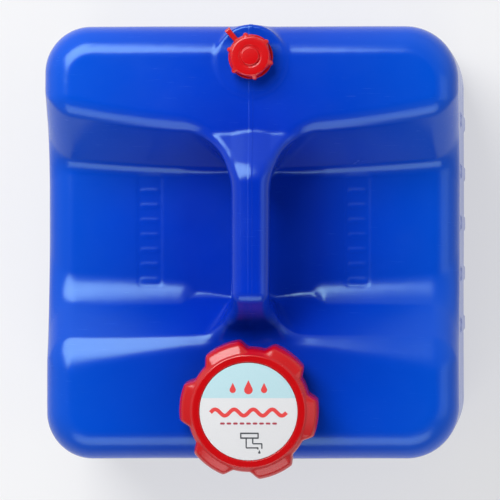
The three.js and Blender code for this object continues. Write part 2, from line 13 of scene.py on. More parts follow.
import bpy
import numpy as np
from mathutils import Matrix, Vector


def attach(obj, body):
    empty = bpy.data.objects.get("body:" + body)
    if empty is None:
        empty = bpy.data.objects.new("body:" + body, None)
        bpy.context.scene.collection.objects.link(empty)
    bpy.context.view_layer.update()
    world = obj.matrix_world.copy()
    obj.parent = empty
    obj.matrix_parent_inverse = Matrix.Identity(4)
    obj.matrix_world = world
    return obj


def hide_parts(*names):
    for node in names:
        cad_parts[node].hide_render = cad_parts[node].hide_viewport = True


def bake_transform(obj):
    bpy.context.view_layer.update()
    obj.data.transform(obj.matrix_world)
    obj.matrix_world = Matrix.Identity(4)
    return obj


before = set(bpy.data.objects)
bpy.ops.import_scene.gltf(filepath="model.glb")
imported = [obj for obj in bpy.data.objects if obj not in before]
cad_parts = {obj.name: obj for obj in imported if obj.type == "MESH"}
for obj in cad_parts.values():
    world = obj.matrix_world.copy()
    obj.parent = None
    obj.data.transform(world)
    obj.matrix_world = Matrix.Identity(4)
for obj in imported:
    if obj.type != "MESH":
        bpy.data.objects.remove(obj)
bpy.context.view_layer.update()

LOG = logging.getLogger("water_can")
MM = 0.001
TURN = 2.0 * math.pi

Array = np.ndarray
Colour = tuple[float, float, float]
Point = tuple[float, float, float]
Range = tuple[float, float]


class Slot(Enum):
    """The record's material slots."""

    CAN = "can_blue"
    CAP = "cap_red"
    TAP = "tap_white"
    LEVER = "lever_blue"
    RUBBER = "rubber_black"
    FOAM = "seal_foam"
    FILM = "label_film"


class Body(Enum):
    """The bodies that pieces ride on."""

    CAN = "can"
    TAP_SEAL = "tap_cap_seal"
    TAP_CAP = "tap_cap"
    TAP_VALVE = "tap_valve"
    TETHER_RING = "vent_tether_ring"
    VENT_CAP = "vent_cap"


# Finishes


def new_material(name: str) -> bpy.types.Material:
    """Make an empty node material.

    Args:
        name: The material's name.

    Returns:
        The material with an empty node tree.
    """
    material = bpy.data.materials.new(name)
    material.use_nodes = True
    material.node_tree.nodes.clear()
    return material


@dataclass(frozen=True)
class MouldedPlastic:
    """Satin moulded plastic: cloudy pigment, orange peel, fine grain, handling scratches, rubbed edges, and a
    painted sheen that lightens the colour towards the outer edges.
    """

    name: str
    colour: Colour
    rubbed: Colour
    roughness: float = 0.27
    peel_scale: float = 130.0
    peel_depth: float = 0.00006
    grain_scale: float = 1500.0
    grain_depth: float = 0.000006
    scratch_share: float = 0.30
    scratch_depth: float = 0.00002
    glint: Colour = (1.0, 1.0, 1.0)
    # outer: colour of a painted sheen, lighter towards the outer edges as seen from above
    outer: Colour | None = None
    sheen_start: float = 0.045
    sheen_end: float = 0.150

    def material(self) -> bpy.types.Material:
        """Write the material out node by node.

        Returns:
            The finished material.
        """
        material = new_material(self.name)
        nodes, links = material.node_tree.nodes, material.node_tree.links

        pigment_frame = nodes.new("NodeFrame")
        pigment_frame.label = "Pigment: cloudy colour and rubbed edges"
        gloss_frame = nodes.new("NodeFrame")
        gloss_frame.label = "Gloss: handling haze and scratches"
        relief_frame = nodes.new("NodeFrame")
        relief_frame.label = "Relief: orange peel, grain and scratches"

        place = nodes.new("ShaderNodeTexCoord")
        place.label = "Position on the piece"

        cloud = nodes.new("ShaderNodeTexNoise")
        cloud.label = "Cloudy pigment in the melt"
        tint = nodes.new("ShaderNodeValToRGB")
        tint.label = "Thin and thick pigment"
        edge = nodes.new("ShaderNodeNewGeometry")
        edge.label = "Where the form is sharp"
        edge_range = nodes.new("ShaderNodeMapRange")
        edge_range.label = "Only the edges that rub"
        rub = nodes.new("ShaderNodeMix")
        rub.label = "Rubbed edges pale a little"

        # Painted sheen: these nodes lighten the colour with distance from the middle seen from above,
        # standing in for brighter edges
        flat = nodes.new("ShaderNodeMapping")
        flat.label = "Distance seen from above"
        away = nodes.new("ShaderNodeVectorMath")
        away.label = "How far from the parison's middle"
        sheen_range = nodes.new("ShaderNodeMapRange")
        sheen_range.label = "Wall stretches thinner outwards"
        outer = nodes.new("ShaderNodeMix")
        outer.label = "Thin wall is lighter"

        haze = nodes.new("ShaderNodeTexNoise")
        haze.label = "Handling haze"
        haze_range = nodes.new("ShaderNodeMapRange")
        haze_range.label = "Haze to roughness"
        along = nodes.new("ShaderNodeMapping")
        along.label = "Stretch into strokes"
        stroke = nodes.new("ShaderNodeTexNoise")
        stroke.label = "Scratch strokes"
        stroke_cut = nodes.new("ShaderNodeMapRange")
        stroke_cut.label = "Only the sharpest strokes"
        patch = nodes.new("ShaderNodeTexNoise")
        patch.label = "Where hands and boxes rub"
        patch_cut = nodes.new("ShaderNodeMapRange")
        patch_cut.label = "Rubbed patches"
        worn = nodes.new("ShaderNodeMath")
        worn.label = "Strokes inside the patches"
        dull = nodes.new("ShaderNodeMath")
        dull.label = "Scratches dull the gloss"

        peel = nodes.new("ShaderNodeTexNoise")
        peel.label = "Orange peel"
        grain = nodes.new("ShaderNodeTexNoise")
        grain.label = "Mould grain"
        peel_bump = nodes.new("ShaderNodeBump")
        peel_bump.label = "Peel relief"
        grain_bump = nodes.new("ShaderNodeBump")
        grain_bump.label = "Grain relief"
        scratch_bump = nodes.new("ShaderNodeBump")
        scratch_bump.label = "Scratch relief"

        plastic = nodes.new("ShaderNodeBsdfPrincipled")
        plastic.label = "Moulded plastic"
        output = nodes.new("ShaderNodeOutputMaterial")
        output.label = "Surface"
        for node, spot in (
            (place, (-1500, 0)), (cloud, (-1100, 420)), (tint, (-880, 420)), (edge, (-1100, 160)),
            (edge_range, (-880, 160)), (rub, (-600, 360)), (flat, (-1320, 700)), (away, (-1100, 700)),
            (sheen_range, (-880, 700)), (outer, (-600, 600)), (haze, (-1100, -120)),
            (haze_range, (-880, -120)), (along, (-1320, -420)), (stroke, (-1100, -420)),
            (stroke_cut, (-880, -420)), (patch, (-1100, -680)), (patch_cut, (-880, -680)),
            (worn, (-640, -520)), (dull, (-420, -200)), (peel, (-640, -760)), (grain, (-640, -1000)),
            (peel_bump, (-400, -760)), (grain_bump, (-200, -760)), (scratch_bump, (0, -760)),
            (plastic, (240, 120)), (output, (560, 120)),
        ):
            node.location = spot
        for node in (cloud, tint, edge, edge_range, rub, flat, away, sheen_range, outer):
            node.parent = pigment_frame
        for node in (haze, haze_range, along, stroke, stroke_cut, patch, patch_cut, worn, dull):
            node.parent = gloss_frame
        for node in (peel, grain, peel_bump, grain_bump, scratch_bump):
            node.parent = relief_frame

        cloud.inputs["Scale"].default_value = 14.0
        cloud.inputs["Detail"].default_value = 3.0
        cloud.inputs["Roughness"].default_value = 0.45
        thin, thick = tint.color_ramp.elements
        thin.position, thick.position = 0.30, 0.72
        thin.color = (*[c * 0.90 for c in self.colour], 1.0)
        thick.color = (*[min(1.0, c * 1.10) for c in self.colour], 1.0)
        edge_range.inputs["From Min"].default_value = 0.56
        edge_range.inputs["From Max"].default_value = 0.72
        edge_range.inputs["To Max"].default_value = 0.35
        rub.data_type = "RGBA"
        rub.inputs[7].default_value = (*self.rubbed, 1.0)

        haze.inputs["Scale"].default_value = 22.0
        haze.inputs["Detail"].default_value = 5.0
        haze.inputs["Roughness"].default_value = 0.62
        haze_range.inputs["From Min"].default_value = 0.30
        haze_range.inputs["From Max"].default_value = 0.75
        haze_range.inputs["To Min"].default_value = self.roughness - 0.03
        haze_range.inputs["To Max"].default_value = self.roughness + 0.05
        along.inputs["Rotation"].default_value = (0.2, 0.1, math.radians(28))
        along.inputs["Scale"].default_value = (1.0, 26.0, 6.0)
        stroke.inputs["Scale"].default_value = 42.0
        stroke.inputs["Detail"].default_value = 6.0
        stroke.inputs["Roughness"].default_value = 0.72
        stroke_cut.inputs["From Min"].default_value = 0.635
        stroke_cut.inputs["From Max"].default_value = 0.70
        patch.inputs["Scale"].default_value = 9.0
        patch.inputs["Detail"].default_value = 2.0
        patch_cut.inputs["From Min"].default_value = 0.48
        patch_cut.inputs["From Max"].default_value = 0.62
        patch_cut.inputs["To Max"].default_value = self.scratch_share
        worn.operation = "MULTIPLY"
        dull.operation = "ADD"
        dull.use_clamp = True

        peel.inputs["Scale"].default_value = self.peel_scale
        peel.inputs["Detail"].default_value = 2.0
        peel.inputs["Roughness"].default_value = 0.4
        grain.inputs["Scale"].default_value = self.grain_scale
        grain.inputs["Detail"].default_value = 2.0
        peel_bump.inputs["Strength"].default_value = 1.0
        peel_bump.inputs["Distance"].default_value = self.peel_depth
        grain_bump.inputs["Strength"].default_value = 1.0
        grain_bump.inputs["Distance"].default_value = self.grain_depth
        scratch_bump.inputs["Strength"].default_value = 1.0
        scratch_bump.inputs["Distance"].default_value = self.scratch_depth
        scratch_bump.invert = True

        plastic.inputs["IOR"].default_value = 1.50
        plastic.inputs["Specular Tint"].default_value = (*self.glint, 1.0)
        # The painted sheen's lighter colour
        outer.data_type = "RGBA"
        outer.inputs[7].default_value = (*(self.outer or self.colour), 1.0)
        away.operation = "LENGTH"
        flat.inputs["Scale"].default_value = (1.0, 0.55, 0.0)
        sheen_range.inputs["From Min"].default_value = self.sheen_start
        sheen_range.inputs["From Max"].default_value = self.sheen_end

        links.new(place.outputs["Object"], cloud.inputs["Vector"])
        links.new(place.outputs["Object"], haze.inputs["Vector"])
        links.new(place.outputs["Object"], along.inputs["Vector"])
        links.new(place.outputs["Object"], patch.inputs["Vector"])
        links.new(place.outputs["Object"], peel.inputs["Vector"])
        links.new(place.outputs["Object"], grain.inputs["Vector"])
        links.new(along.outputs["Vector"], stroke.inputs["Vector"])
        links.new(cloud.outputs["Fac"], tint.inputs["Fac"])
        links.new(edge.outputs["Pointiness"], edge_range.inputs["Value"])
        links.new(edge_range.outputs["Result"], rub.inputs[0])
        links.new(place.outputs["Object"], flat.inputs["Vector"])
        links.new(flat.outputs["Vector"], away.inputs[0])
        links.new(away.outputs["Value"], sheen_range.inputs["Value"])
        links.new(sheen_range.outputs["Result"], outer.inputs[0])
        links.new(tint.outputs["Color"], outer.inputs[6])
        links.new(outer.outputs[2], rub.inputs[6])
        links.new(haze.outputs["Fac"], haze_range.inputs["Value"])
        links.new(stroke.outputs["Fac"], stroke_cut.inputs["Value"])
        links.new(patch.outputs["Fac"], patch_cut.inputs["Value"])
        links.new(stroke_cut.outputs["Result"], worn.inputs[0])
        links.new(patch_cut.outputs["Result"], worn.inputs[1])
        links.new(haze_range.outputs["Result"], dull.inputs[0])
        links.new(worn.outputs["Value"], dull.inputs[1])
        links.new(peel.outputs["Fac"], peel_bump.inputs["Height"])
        links.new(grain.outputs["Fac"], grain_bump.inputs["Height"])
        links.new(peel_bump.outputs["Normal"], grain_bump.inputs["Normal"])
        links.new(worn.outputs["Value"], scratch_bump.inputs["Height"])
        links.new(grain_bump.outputs["Normal"], scratch_bump.inputs["Normal"])
        links.new(rub.outputs[2], plastic.inputs["Base Color"])
        links.new(dull.outputs["Value"], plastic.inputs["Roughness"])
        links.new(scratch_bump.outputs["Normal"], plastic.inputs["Normal"])
        links.new(plastic.outputs["BSDF"], output.inputs["Surface"])
        return material


@dataclass(frozen=True)
class SoftSeal:
    """Rubber or closed-cell foam: matt, pored and dusty."""

    name: str
    colour: Colour
    dust: Colour
    pore_scale: float
    pore_depth: float
    roughness: float

    def material(self) -> bpy.types.Material:
        """Write the material out node by node.

        Returns:
            The finished material.
        """
        material = new_material(self.name)
        nodes, links = material.node_tree.nodes, material.node_tree.links

        skin_frame = nodes.new("NodeFrame")
        skin_frame.label = "Skin: dust and wear"
        pore_frame = nodes.new("NodeFrame")
        pore_frame.label = "Pores"

        place = nodes.new("ShaderNodeTexCoord")
        place.label = "Position on the seal"
        dust = nodes.new("ShaderNodeTexNoise")
        dust.label = "Dust"
        dusted = nodes.new("ShaderNodeMix")
        dusted.label = "Dusted colour"
        worn = nodes.new("ShaderNodeMapRange")
        worn.label = "Dust to roughness"
        pores = nodes.new("ShaderNodeTexVoronoi")
        pores.label = "Cells of the seal"
        relief = nodes.new("ShaderNodeBump")
        relief.label = "Cell relief"
        seal = nodes.new("ShaderNodeBsdfPrincipled")
        seal.label = "Seal"
        output = nodes.new("ShaderNodeOutputMaterial")
        output.label = "Surface"
        for node, spot in (
            (place, (-1000, 0)), (dust, (-760, 200)), (dusted, (-500, 200)), (worn, (-500, -60)),
            (pores, (-760, -320)), (relief, (-500, -320)), (seal, (-160, 100)), (output, (140, 100)),
        ):
            node.location = spot
        for node in (dust, dusted, worn):
            node.parent = skin_frame
        for node in (pores, relief):
            node.parent = pore_frame

        dust.inputs["Scale"].default_value = 160.0
        dust.inputs["Detail"].default_value = 4.0
        dusted.data_type = "RGBA"
        dusted.inputs[6].default_value = (*self.colour, 1.0)
        dusted.inputs[7].default_value = (*self.dust, 1.0)
        worn.inputs["To Min"].default_value = self.roughness - 0.08
        worn.inputs["To Max"].default_value = self.roughness + 0.08
        pores.inputs["Scale"].default_value = self.pore_scale
        relief.inputs["Strength"].default_value = 0.7
        relief.inputs["Distance"].default_value = self.pore_depth

        links.new(place.outputs["Object"], dust.inputs["Vector"])
        links.new(place.outputs["Object"], pores.inputs["Vector"])
        links.new(dust.outputs["Fac"], dusted.inputs[0])
        links.new(dust.outputs["Fac"], worn.inputs["Value"])
        links.new(pores.outputs["Distance"], relief.inputs["Height"])
        links.new(dusted.outputs[2], seal.inputs["Base Color"])
        links.new(worn.outputs["Result"], seal.inputs["Roughness"])
        links.new(relief.outputs["Normal"], seal.inputs["Normal"])
        links.new(seal.outputs["BSDF"], output.inputs["Surface"])
        return material


@dataclass(frozen=True)
class PrintedFilm:
    """Coated label film: two printed ground tints that meet at a line, a dot screen and a slight ripple."""

    name: str
    upper: Colour
    lower: Colour
    line_y: float

    def material(self) -> bpy.types.Material:
        """Write the material out node by node.

        Returns:
            The finished material.
        """
        material = new_material(self.name)
        nodes, links = material.node_tree.nodes, material.node_tree.links

        ground_frame = nodes.new("NodeFrame")
        ground_frame.label = "Printed ground tints"
        film_frame = nodes.new("NodeFrame")
        film_frame.label = "Film gloss and ripple"

        place = nodes.new("ShaderNodeTexCoord")
        place.label = "Position on the label"
        split = nodes.new("ShaderNodeSeparateXYZ")
        split.label = "How far up the label"
        above = nodes.new("ShaderNodeMath")
        above.label = "Above the tint line"
        screen = nodes.new("ShaderNodeTexVoronoi")
        screen.label = "Printer's dot screen"
        screen_range = nodes.new("ShaderNodeMapRange")
        screen_range.label = "Faint dots"
        ground = nodes.new("ShaderNodeMix")
        ground.label = "Lower and upper tint"
        dotted = nodes.new("ShaderNodeMix")
        dotted.label = "Dots in the tint"
        smear = nodes.new("ShaderNodeTexNoise")
        smear.label = "Finger marks"
        gloss = nodes.new("ShaderNodeMapRange")
        gloss.label = "Marks to roughness"
        ripple = nodes.new("ShaderNodeTexNoise")
        ripple.label = "Ripple in the film"
        relief = nodes.new("ShaderNodeBump")
        relief.label = "Ripple relief"
        film = nodes.new("ShaderNodeBsdfPrincipled")
        film.label = "Coated film"
        output = nodes.new("ShaderNodeOutputMaterial")
        output.label = "Surface"
        for node, spot in (
            (place, (-1300, 0)), (split, (-1080, 200)), (above, (-860, 200)), (screen, (-1080, -40)),
            (screen_range, (-860, -40)), (ground, (-620, 200)), (dotted, (-380, 160)),
            (smear, (-860, -320)), (gloss, (-620, -320)), (ripple, (-620, -560)), (relief, (-380, -560)),
            (film, (-100, 60)), (output, (200, 60)),
        ):
            node.location = spot
        for node in (split, above, screen, screen_range, ground, dotted):
            node.parent = ground_frame
        for node in (smear, gloss, ripple, relief):
            node.parent = film_frame

        above.operation = "GREATER_THAN"
        above.inputs[1].default_value = self.line_y
        screen.inputs["Scale"].default_value = 2400.0
        screen_range.inputs["From Max"].default_value = 0.7
        screen_range.inputs["To Max"].default_value = 0.10
        ground.data_type = "RGBA"
        ground.inputs[6].default_value = (*self.lower, 1.0)
        ground.inputs[7].default_value = (*self.upper, 1.0)
        dotted.data_type = "RGBA"
        dotted.inputs[7].default_value = (0.93, 0.94, 0.95, 1.0)
        smear.inputs["Scale"].default_value = 60.0
        smear.inputs["Detail"].default_value = 4.0
        gloss.inputs["To Min"].default_value = 0.34
        gloss.inputs["To Max"].default_value = 0.52
        ripple.inputs["Scale"].default_value = 70.0
        relief.inputs["Strength"].default_value = 0.6
        relief.inputs["Distance"].default_value = 0.00008
        film.inputs["Coat Weight"].default_value = 0.2
        film.inputs["Coat Roughness"].default_value = 0.3

        links.new(place.outputs["Object"], split.inputs["Vector"])
        links.new(place.outputs["Object"], screen.inputs["Vector"])
        links.new(place.outputs["Object"], smear.inputs["Vector"])
        links.new(place.outputs["Object"], ripple.inputs["Vector"])
        links.new(split.outputs["Y"], above.inputs[0])
        links.new(above.outputs["Value"], ground.inputs[0])
        links.new(screen.outputs["Distance"], screen_range.inputs["Value"])
        links.new(screen_range.outputs["Result"], dotted.inputs[0])
        links.new(ground.outputs[2], dotted.inputs[6])
        links.new(smear.outputs["Fac"], gloss.inputs["Value"])
        links.new(ripple.outputs["Fac"], relief.inputs["Height"])
        links.new(dotted.outputs[2], film.inputs["Base Color"])
        links.new(gloss.outputs["Result"], film.inputs["Roughness"])
        links.new(relief.outputs["Normal"], film.inputs["Normal"])
        links.new(film.outputs["BSDF"], output.inputs["Surface"])
        return material


@dataclass(frozen=True)
class PrintInk:
    """Screen-printed ink: slightly uneven cover and a soft edge in gloss."""

    name: str
    colour: Colour

    def material(self) -> bpy.types.Material:
        """Write the material out node by node.

        Returns:
            The finished material.
        """
        material = new_material(self.name)
        nodes, links = material.node_tree.nodes, material.node_tree.links

        cover_frame = nodes.new("NodeFrame")
        cover_frame.label = "Ink cover"
        place = nodes.new("ShaderNodeTexCoord")
        place.label = "Position on the print"
        cover = nodes.new("ShaderNodeTexNoise")
        cover.label = "Uneven cover"
        shade = nodes.new("ShaderNodeMix")
        shade.label = "Thin and full ink"
        relief = nodes.new("ShaderNodeBump")
        relief.label = "Ink film relief"
        ink = nodes.new("ShaderNodeBsdfPrincipled")
        ink.label = "Ink"
        output = nodes.new("ShaderNodeOutputMaterial")
        output.label = "Surface"
        for node, spot in (
            (place, (-900, 0)), (cover, (-680, 120)), (shade, (-440, 120)), (relief, (-440, -160)),
            (ink, (-160, 60)), (output, (140, 60)),
        ):
            node.location = spot
        for node in (cover, shade, relief):
            node.parent = cover_frame

        cover.inputs["Scale"].default_value = 900.0
        cover.inputs["Detail"].default_value = 3.0
        shade.data_type = "RGBA"
        shade.inputs[6].default_value = (*self.colour, 1.0)
        shade.inputs[7].default_value = (*[0.90 * c + 0.02 for c in self.colour], 1.0)
        relief.inputs["Strength"].default_value = 0.4
        relief.inputs["Distance"].default_value = 0.00001
        ink.inputs["Roughness"].default_value = 0.42

        links.new(place.outputs["Object"], cover.inputs["Vector"])
        links.new(cover.outputs["Fac"], shade.inputs[0])
        links.new(cover.outputs["Fac"], relief.inputs["Height"])
        links.new(shade.outputs[2], ink.inputs["Base Color"])
        links.new(relief.outputs["Normal"], ink.inputs["Normal"])
        links.new(ink.outputs["BSDF"], output.inputs["Surface"])
        return material


@dataclass(frozen=True)
class StudioPaper:
    """Pale matt studio paper with a faint fibre, lit from below like a light table."""

    name: str
    colour: Colour
    backlight: float

    def material(self) -> bpy.types.Material:
        """Write the material out node by node.

        Returns:
            The finished material.
        """
        material = new_material(self.name)
        nodes, links = material.node_tree.nodes, material.node_tree.links
        place = nodes.new("ShaderNodeTexCoord")
        place.label = "Position on the paper"
        fibre = nodes.new("ShaderNodeTexNoise")
        fibre.label = "Paper fibre"
        tone = nodes.new("ShaderNodeMix")
        tone.label = "Fibre tone"
        paper = nodes.new("ShaderNodeBsdfPrincipled")
        paper.label = "Paper"
        output = nodes.new("ShaderNodeOutputMaterial")
        output.label = "Surface"
        for node, spot in (
            (place, (-800, 0)), (fibre, (-600, 0)), (tone, (-380, 0)), (paper, (-140, 0)),
            (output, (160, 0)),
        ):
            node.location = spot

        fibre.inputs["Scale"].default_value = 500.0
        tone.data_type = "RGBA"
        tone.inputs[6].default_value = (*self.colour, 1.0)
        tone.inputs[7].default_value = (*[c * 0.985 for c in self.colour], 1.0)
        paper.inputs["Roughness"].default_value = 0.95
        paper.inputs["Specular IOR Level"].default_value = 0.1
        paper.inputs["Emission Color"].default_value = (1.0, 1.0, 1.0, 1.0)
        paper.inputs["Emission Strength"].default_value = self.backlight

        links.new(place.outputs["Object"], fibre.inputs["Vector"])
        links.new(fibre.outputs["Fac"], tone.inputs[0])
        links.new(tone.outputs[2], paper.inputs["Base Color"])
        links.new(paper.outputs["BSDF"], output.inputs["Surface"])
        return material


# Shape helpers


def smooth_step(value: Array, low: float, high: float) -> Array:
    """Ease from 0 at low to 1 at high.

    Args:
        value: Where to read the curve.
        low: Where it leaves 0.
        high: Where it reaches 1.

    Returns:
        Values from 0 to 1.
    """
    t = np.clip((value - low) / (high - low), 0.0, 1.0)
    return t * t * (3.0 - 2.0 * t)


def round_meet(a: Array, b: Array, radius: Array | float) -> Array:
    """Intersect two solids and round the edge where they meet.

    Args:
        a: Signed distance to the first solid, negative inside.
        b: Signed distance to the second solid.
        radius: Edge radius in mm.

    Returns:
        Signed distance to what both hold.
    """
    inner = np.minimum(np.maximum(a, b), -radius)
    return inner + np.hypot(np.maximum(a + radius, 0.0), np.maximum(b + radius, 0.0))


def round_join(a: Array, b: Array, radius: Array | float) -> Array:
    """Join two solids and fill the corner between them with a fillet.

    Args:
        a: Signed distance to the first solid, negative inside.
        b: Signed distance to the second solid.
        radius: Fillet radius in mm.

    Returns:
        Signed distance to what either holds.
    """
    outer = np.maximum(np.minimum(a, b), radius)
    return outer - np.hypot(np.maximum(radius - a, 0.0), np.maximum(radius - b, 0.0))


def round_rectangle(across: Array, along: Array, radius: Array | float) -> Array:
    """Read the distance to a rectangle with rounded corners.

    Args:
        across: Distance past the straight part of the first pair of sides.
        along: Distance past the straight part of the second pair.
        radius: Corner radius in mm.

    Returns:
        Signed distance in mm, negative inside.
    """
    outside = np.hypot(np.maximum(across, 0), np.maximum(along, 0))
    return outside + np.minimum(np.maximum(across, along), 0) - radius


def rounded_path(corners: Array, radii: list[float], steps: int = 4) -> Array:
    """Round the inner corners of an open path.

    Args:
        corners: Corner points, one row each.
        radii: How far along both sides each corner's curve starts; the two ends take none.
        steps: Points along each rounded corner, less one.

    Returns:
        The path's points, always the same number for the same corners.
    """
    points = [corners[0]]
    for index in range(1, len(corners) - 1):
        corner = corners[index]
        back = corners[index - 1] - corner
        on = corners[index + 1] - corner
        reach = min(radii[index], 0.48 * np.linalg.norm(back), 0.48 * np.linalg.norm(on))
        start = corner + back / max(np.linalg.norm(back), 1e-9) * reach
        end = corner + on / max(np.linalg.norm(on), 1e-9) * reach
        for t in np.linspace(0.0, 1.0, steps + 1):
            points.append((1 - t) ** 2 * start + 2 * t * (1 - t) * corner + t * t * end)
    points.append(corners[-1])
    return np.array(points)


def make_object(name: str, points: Array, faces: list, material: bpy.types.Material) -> bpy.types.Object:
    """Make a smooth-shaded object from points in mm.

    Args:
        name: The piece's name.
        points: Points in mm in the frame, one row each.
        faces: Corner numbers of each face.
        material: Its finish.

    Returns:
        The linked object.
    """
    mesh = bpy.data.meshes.new(name)
    mesh.from_pydata((points * MM).tolist(), [], faces)
    mesh.validate()
    mesh.polygons.foreach_set("use_smooth", [True] * len(mesh.polygons))
    mesh.materials.append(material)
    mesh.update()
    piece = bpy.data.objects.new(name, mesh)
    bpy.context.scene.collection.objects.link(piece)
    return piece


def sharpen(piece: bpy.types.Object, degrees: float) -> None:
    """Mark edges sharper than an angle as hard.

    Args:
        piece: The object.
        degrees: The angle.
    """
    mesh = piece.data
    mesh.set_sharp_from_angle(angle=math.radians(degrees))


@dataclass(frozen=True)
class Lean:
    """The axis of a neck: a place on the can and a lean towards the tap cap's wall."""

    x: float
    y: float
    seat: float
    degrees: float

    def place(self, local: Array) -> Array:
        """Move points from the upright axis into the frame.

        Args:
            local: Points about the axis, with heights as if it stood upright.

        Returns:
            The points in the frame, in mm.
        """
        angle = math.radians(self.degrees)
        rise = local[:, 2] - self.seat
        y = local[:, 1] * math.cos(angle) - rise * math.sin(angle) + self.y
        z = local[:, 1] * math.sin(angle) + rise * math.cos(angle) + self.seat
        return np.column_stack([local[:, 0] + self.x, y, z])

    def local(self, x: Array, y: Array, z: Array) -> tuple[Array, Array, Array]:
        """Read frame positions about the axis.

        Args:
            x: Frame x in mm.
            y: Frame y in mm.
            z: Frame z in mm.

        Returns:
            X and y about the axis, and the height above the seat.
        """
        angle = math.radians(self.degrees)
        dy, dz = y - self.y, z - self.seat
        return (
            x - self.x,
            dy * math.cos(angle) + dz * math.sin(angle),
            dz * math.cos(angle) - dy * math.sin(angle),
        )


TAP_AXIS = Lean(-1.0, -110.6, 354.0, 4.5)
VENT_AXIS = Lean(0.0, 125.0, 370.0, 0.0)


def turned_skin(radii: Array, heights: Array, angles: Array, closed: bool) -> tuple[Array, list]:
    """Skin a profile that may change round the axis.

    Args:
        radii: Radius of each profile point at each angle, one row per angle.
        heights: Height of each profile point at each angle.
        angles: The angles of the rows, in radians, over one full turn.
        closed: Whether the profile's end joins its start; otherwise both ends close on the axis.

    Returns:
        Points about the axis and faces.
    """
    rows, columns = radii.shape
    x = radii * np.cos(angles)[:, None]
    y = radii * np.sin(angles)[:, None]
    points = np.column_stack([x.ravel(), y.ravel(), heights.ravel()])
    span = columns if closed else columns - 1
    row, column = np.meshgrid(np.arange(rows), np.arange(span), indexing="ij")
    next_row, next_column = (row + 1) % rows, (column + 1) % columns
    corners = [
        row * columns + column,
        row * columns + next_column,
        next_row * columns + next_column,
        next_row * columns + column,
    ]
    faces = np.stack([c.ravel() for c in corners], axis=1).tolist()
    if not closed:
        top, foot = len(points), len(points) + 1
        poles = [[0.0, 0.0, float(heights[:, 0].mean())], [0.0, 0.0, float(heights[:, -1].mean())]]
        points = np.vstack([points, poles])
        for index in range(rows):
            after = (index + 1) % rows
            faces.append([top, index * columns, after * columns])
            faces.append([foot, after * columns + columns - 1, index * columns + columns - 1])
    return points, faces


def plain_turned(profile: Array, steps: int, closed: bool) -> tuple[Array, list]:
    """Turn one profile round the axis.

    Args:
        profile: Radius and height of each point.
        steps: Steps round the axis.
        closed: Whether the profile is a closed ring section.

    Returns:
        Points about the axis and faces.
    """
    angles = np.linspace(0.0, TURN, steps, endpoint=False)
    radii = np.tile(profile[:, 0], (steps, 1))
    heights = np.tile(profile[:, 1], (steps, 1))
    return turned_skin(radii, heights, angles, closed)


def ring_section(inner: float, outer: float, low: float, high: float, edge: float) -> Array:
    """Draw a ring's section with rounded edges.

    Args:
        inner: Inner radius.
        outer: Outer radius.
        low: Bottom height.
        high: Top height.
        edge: Edge rounding.

    Returns:
        A closed profile, outer side first.
    """
    middle = (low + high) / 2
    corners = np.array([
        (outer, middle), (outer, high), (inner, high), (inner, low), (outer, low), (outer, middle),
    ])
    return rounded_path(corners, [0.0, edge, edge, edge, edge, 0.0], 5)[:-1][::-1]


def surface_net(xs: Array, ys: Array, zs: Array, values: Array) -> tuple[Array, Array]:
    """Skin the zero level of a field with four-sided faces.

    Args:
        xs: Grid lines along x.
        ys: Grid lines along y.
        zs: Grid lines along z.
        values: The field at every grid point, negative inside.

    Returns:
        Points and four corner numbers per face.
    """
    lines = (xs, ys, zs)
    inside = values < 0.0
    cells = tuple(n - 1 for n in values.shape)
    total = np.zeros((3, *cells), np.float32)
    count = np.zeros(cells, np.float32)
    crossings = []
    for axis in range(3):
        first = [slice(None)] * 3
        second = [slice(None)] * 3
        first[axis], second[axis] = slice(None, -1), slice(1, None)
        a, b = values[tuple(first)], values[tuple(second)]
        crossed = inside[tuple(first)] != inside[tuple(second)]
        share = np.where(crossed, a / np.where(crossed, a - b, 1.0), 0.0)
        start, step = lines[axis][:-1], np.diff(lines[axis])
        shape = [1, 1, 1]
        shape[axis] = -1
        place = [None, None, None]
        for other in range(3):
            side = [1, 1, 1]
            side[other] = -1
            grid = lines[other] if other != axis else start
            place[other] = np.broadcast_to(grid.reshape(side), a.shape).astype(np.float32)
        place[axis] = place[axis] + (share * step.reshape(shape)).astype(np.float32)
        weight = crossed.astype(np.float32)
        across = [other for other in range(3) if other != axis]
        for shift_a in (0, 1):
            for shift_b in (0, 1):
                cut = [slice(None)] * 3
                cut[across[0]] = slice(shift_a, cells[across[0]] + shift_a)
                cut[across[1]] = slice(shift_b, cells[across[1]] + shift_b)
                count += weight[tuple(cut)]
                for other in range(3):
                    total[other] += (place[other] * weight)[tuple(cut)]
        crossings.append((crossed, inside[tuple(first)], across))
    active = count > 0
    number = np.full(cells, -1, np.int64)
    number[active] = np.arange(int(active.sum()))
    points = (total[:, active] / count[active]).T.astype(np.float64)
    faces = []
    for axis, (crossed, starts_inside, across) in enumerate(crossings):
        where = np.argwhere(crossed)
        keep = np.ones(len(where), bool)
        for other in across:
            keep &= (where[:, other] > 0) & (where[:, other] < cells[other])
        where = where[keep]
        corners = []
        for back_a, back_b in ((1, 1), (0, 1), (0, 0), (1, 0)):
            cell = where.copy()
            cell[:, across[0]] -= back_a
            cell[:, across[1]] -= back_b
            corners.append(number[cell[:, 0], cell[:, 1], cell[:, 2]])
        face = np.stack(corners, axis=1)
        outward = starts_inside[where[:, 0], where[:, 1], where[:, 2]]
        if axis == 1:
            outward = ~outward
        faces.append(np.where(outward[:, None], face, face[:, ::-1]))
    return points, np.vstack(faces)


def grid_lines(stops: list[tuple[float, float]], end: float) -> Array:
    """Lay grid lines whose spacing changes along an axis.

    Args:
        stops: Where each stretch starts and its spacing.
        end: Where the last stretch ends.

    Returns:
        The grid lines in rising order.
    """
    lines = []
    for index, (start, spacing) in enumerate(stops):
        stop = stops[index + 1][0] if index + 1 < len(stops) else end
        lines.extend(np.linspace(start, stop, max(1, round((stop - start) / spacing)), endpoint=False))
    lines.append(end)
    return np.array(lines)


# The can

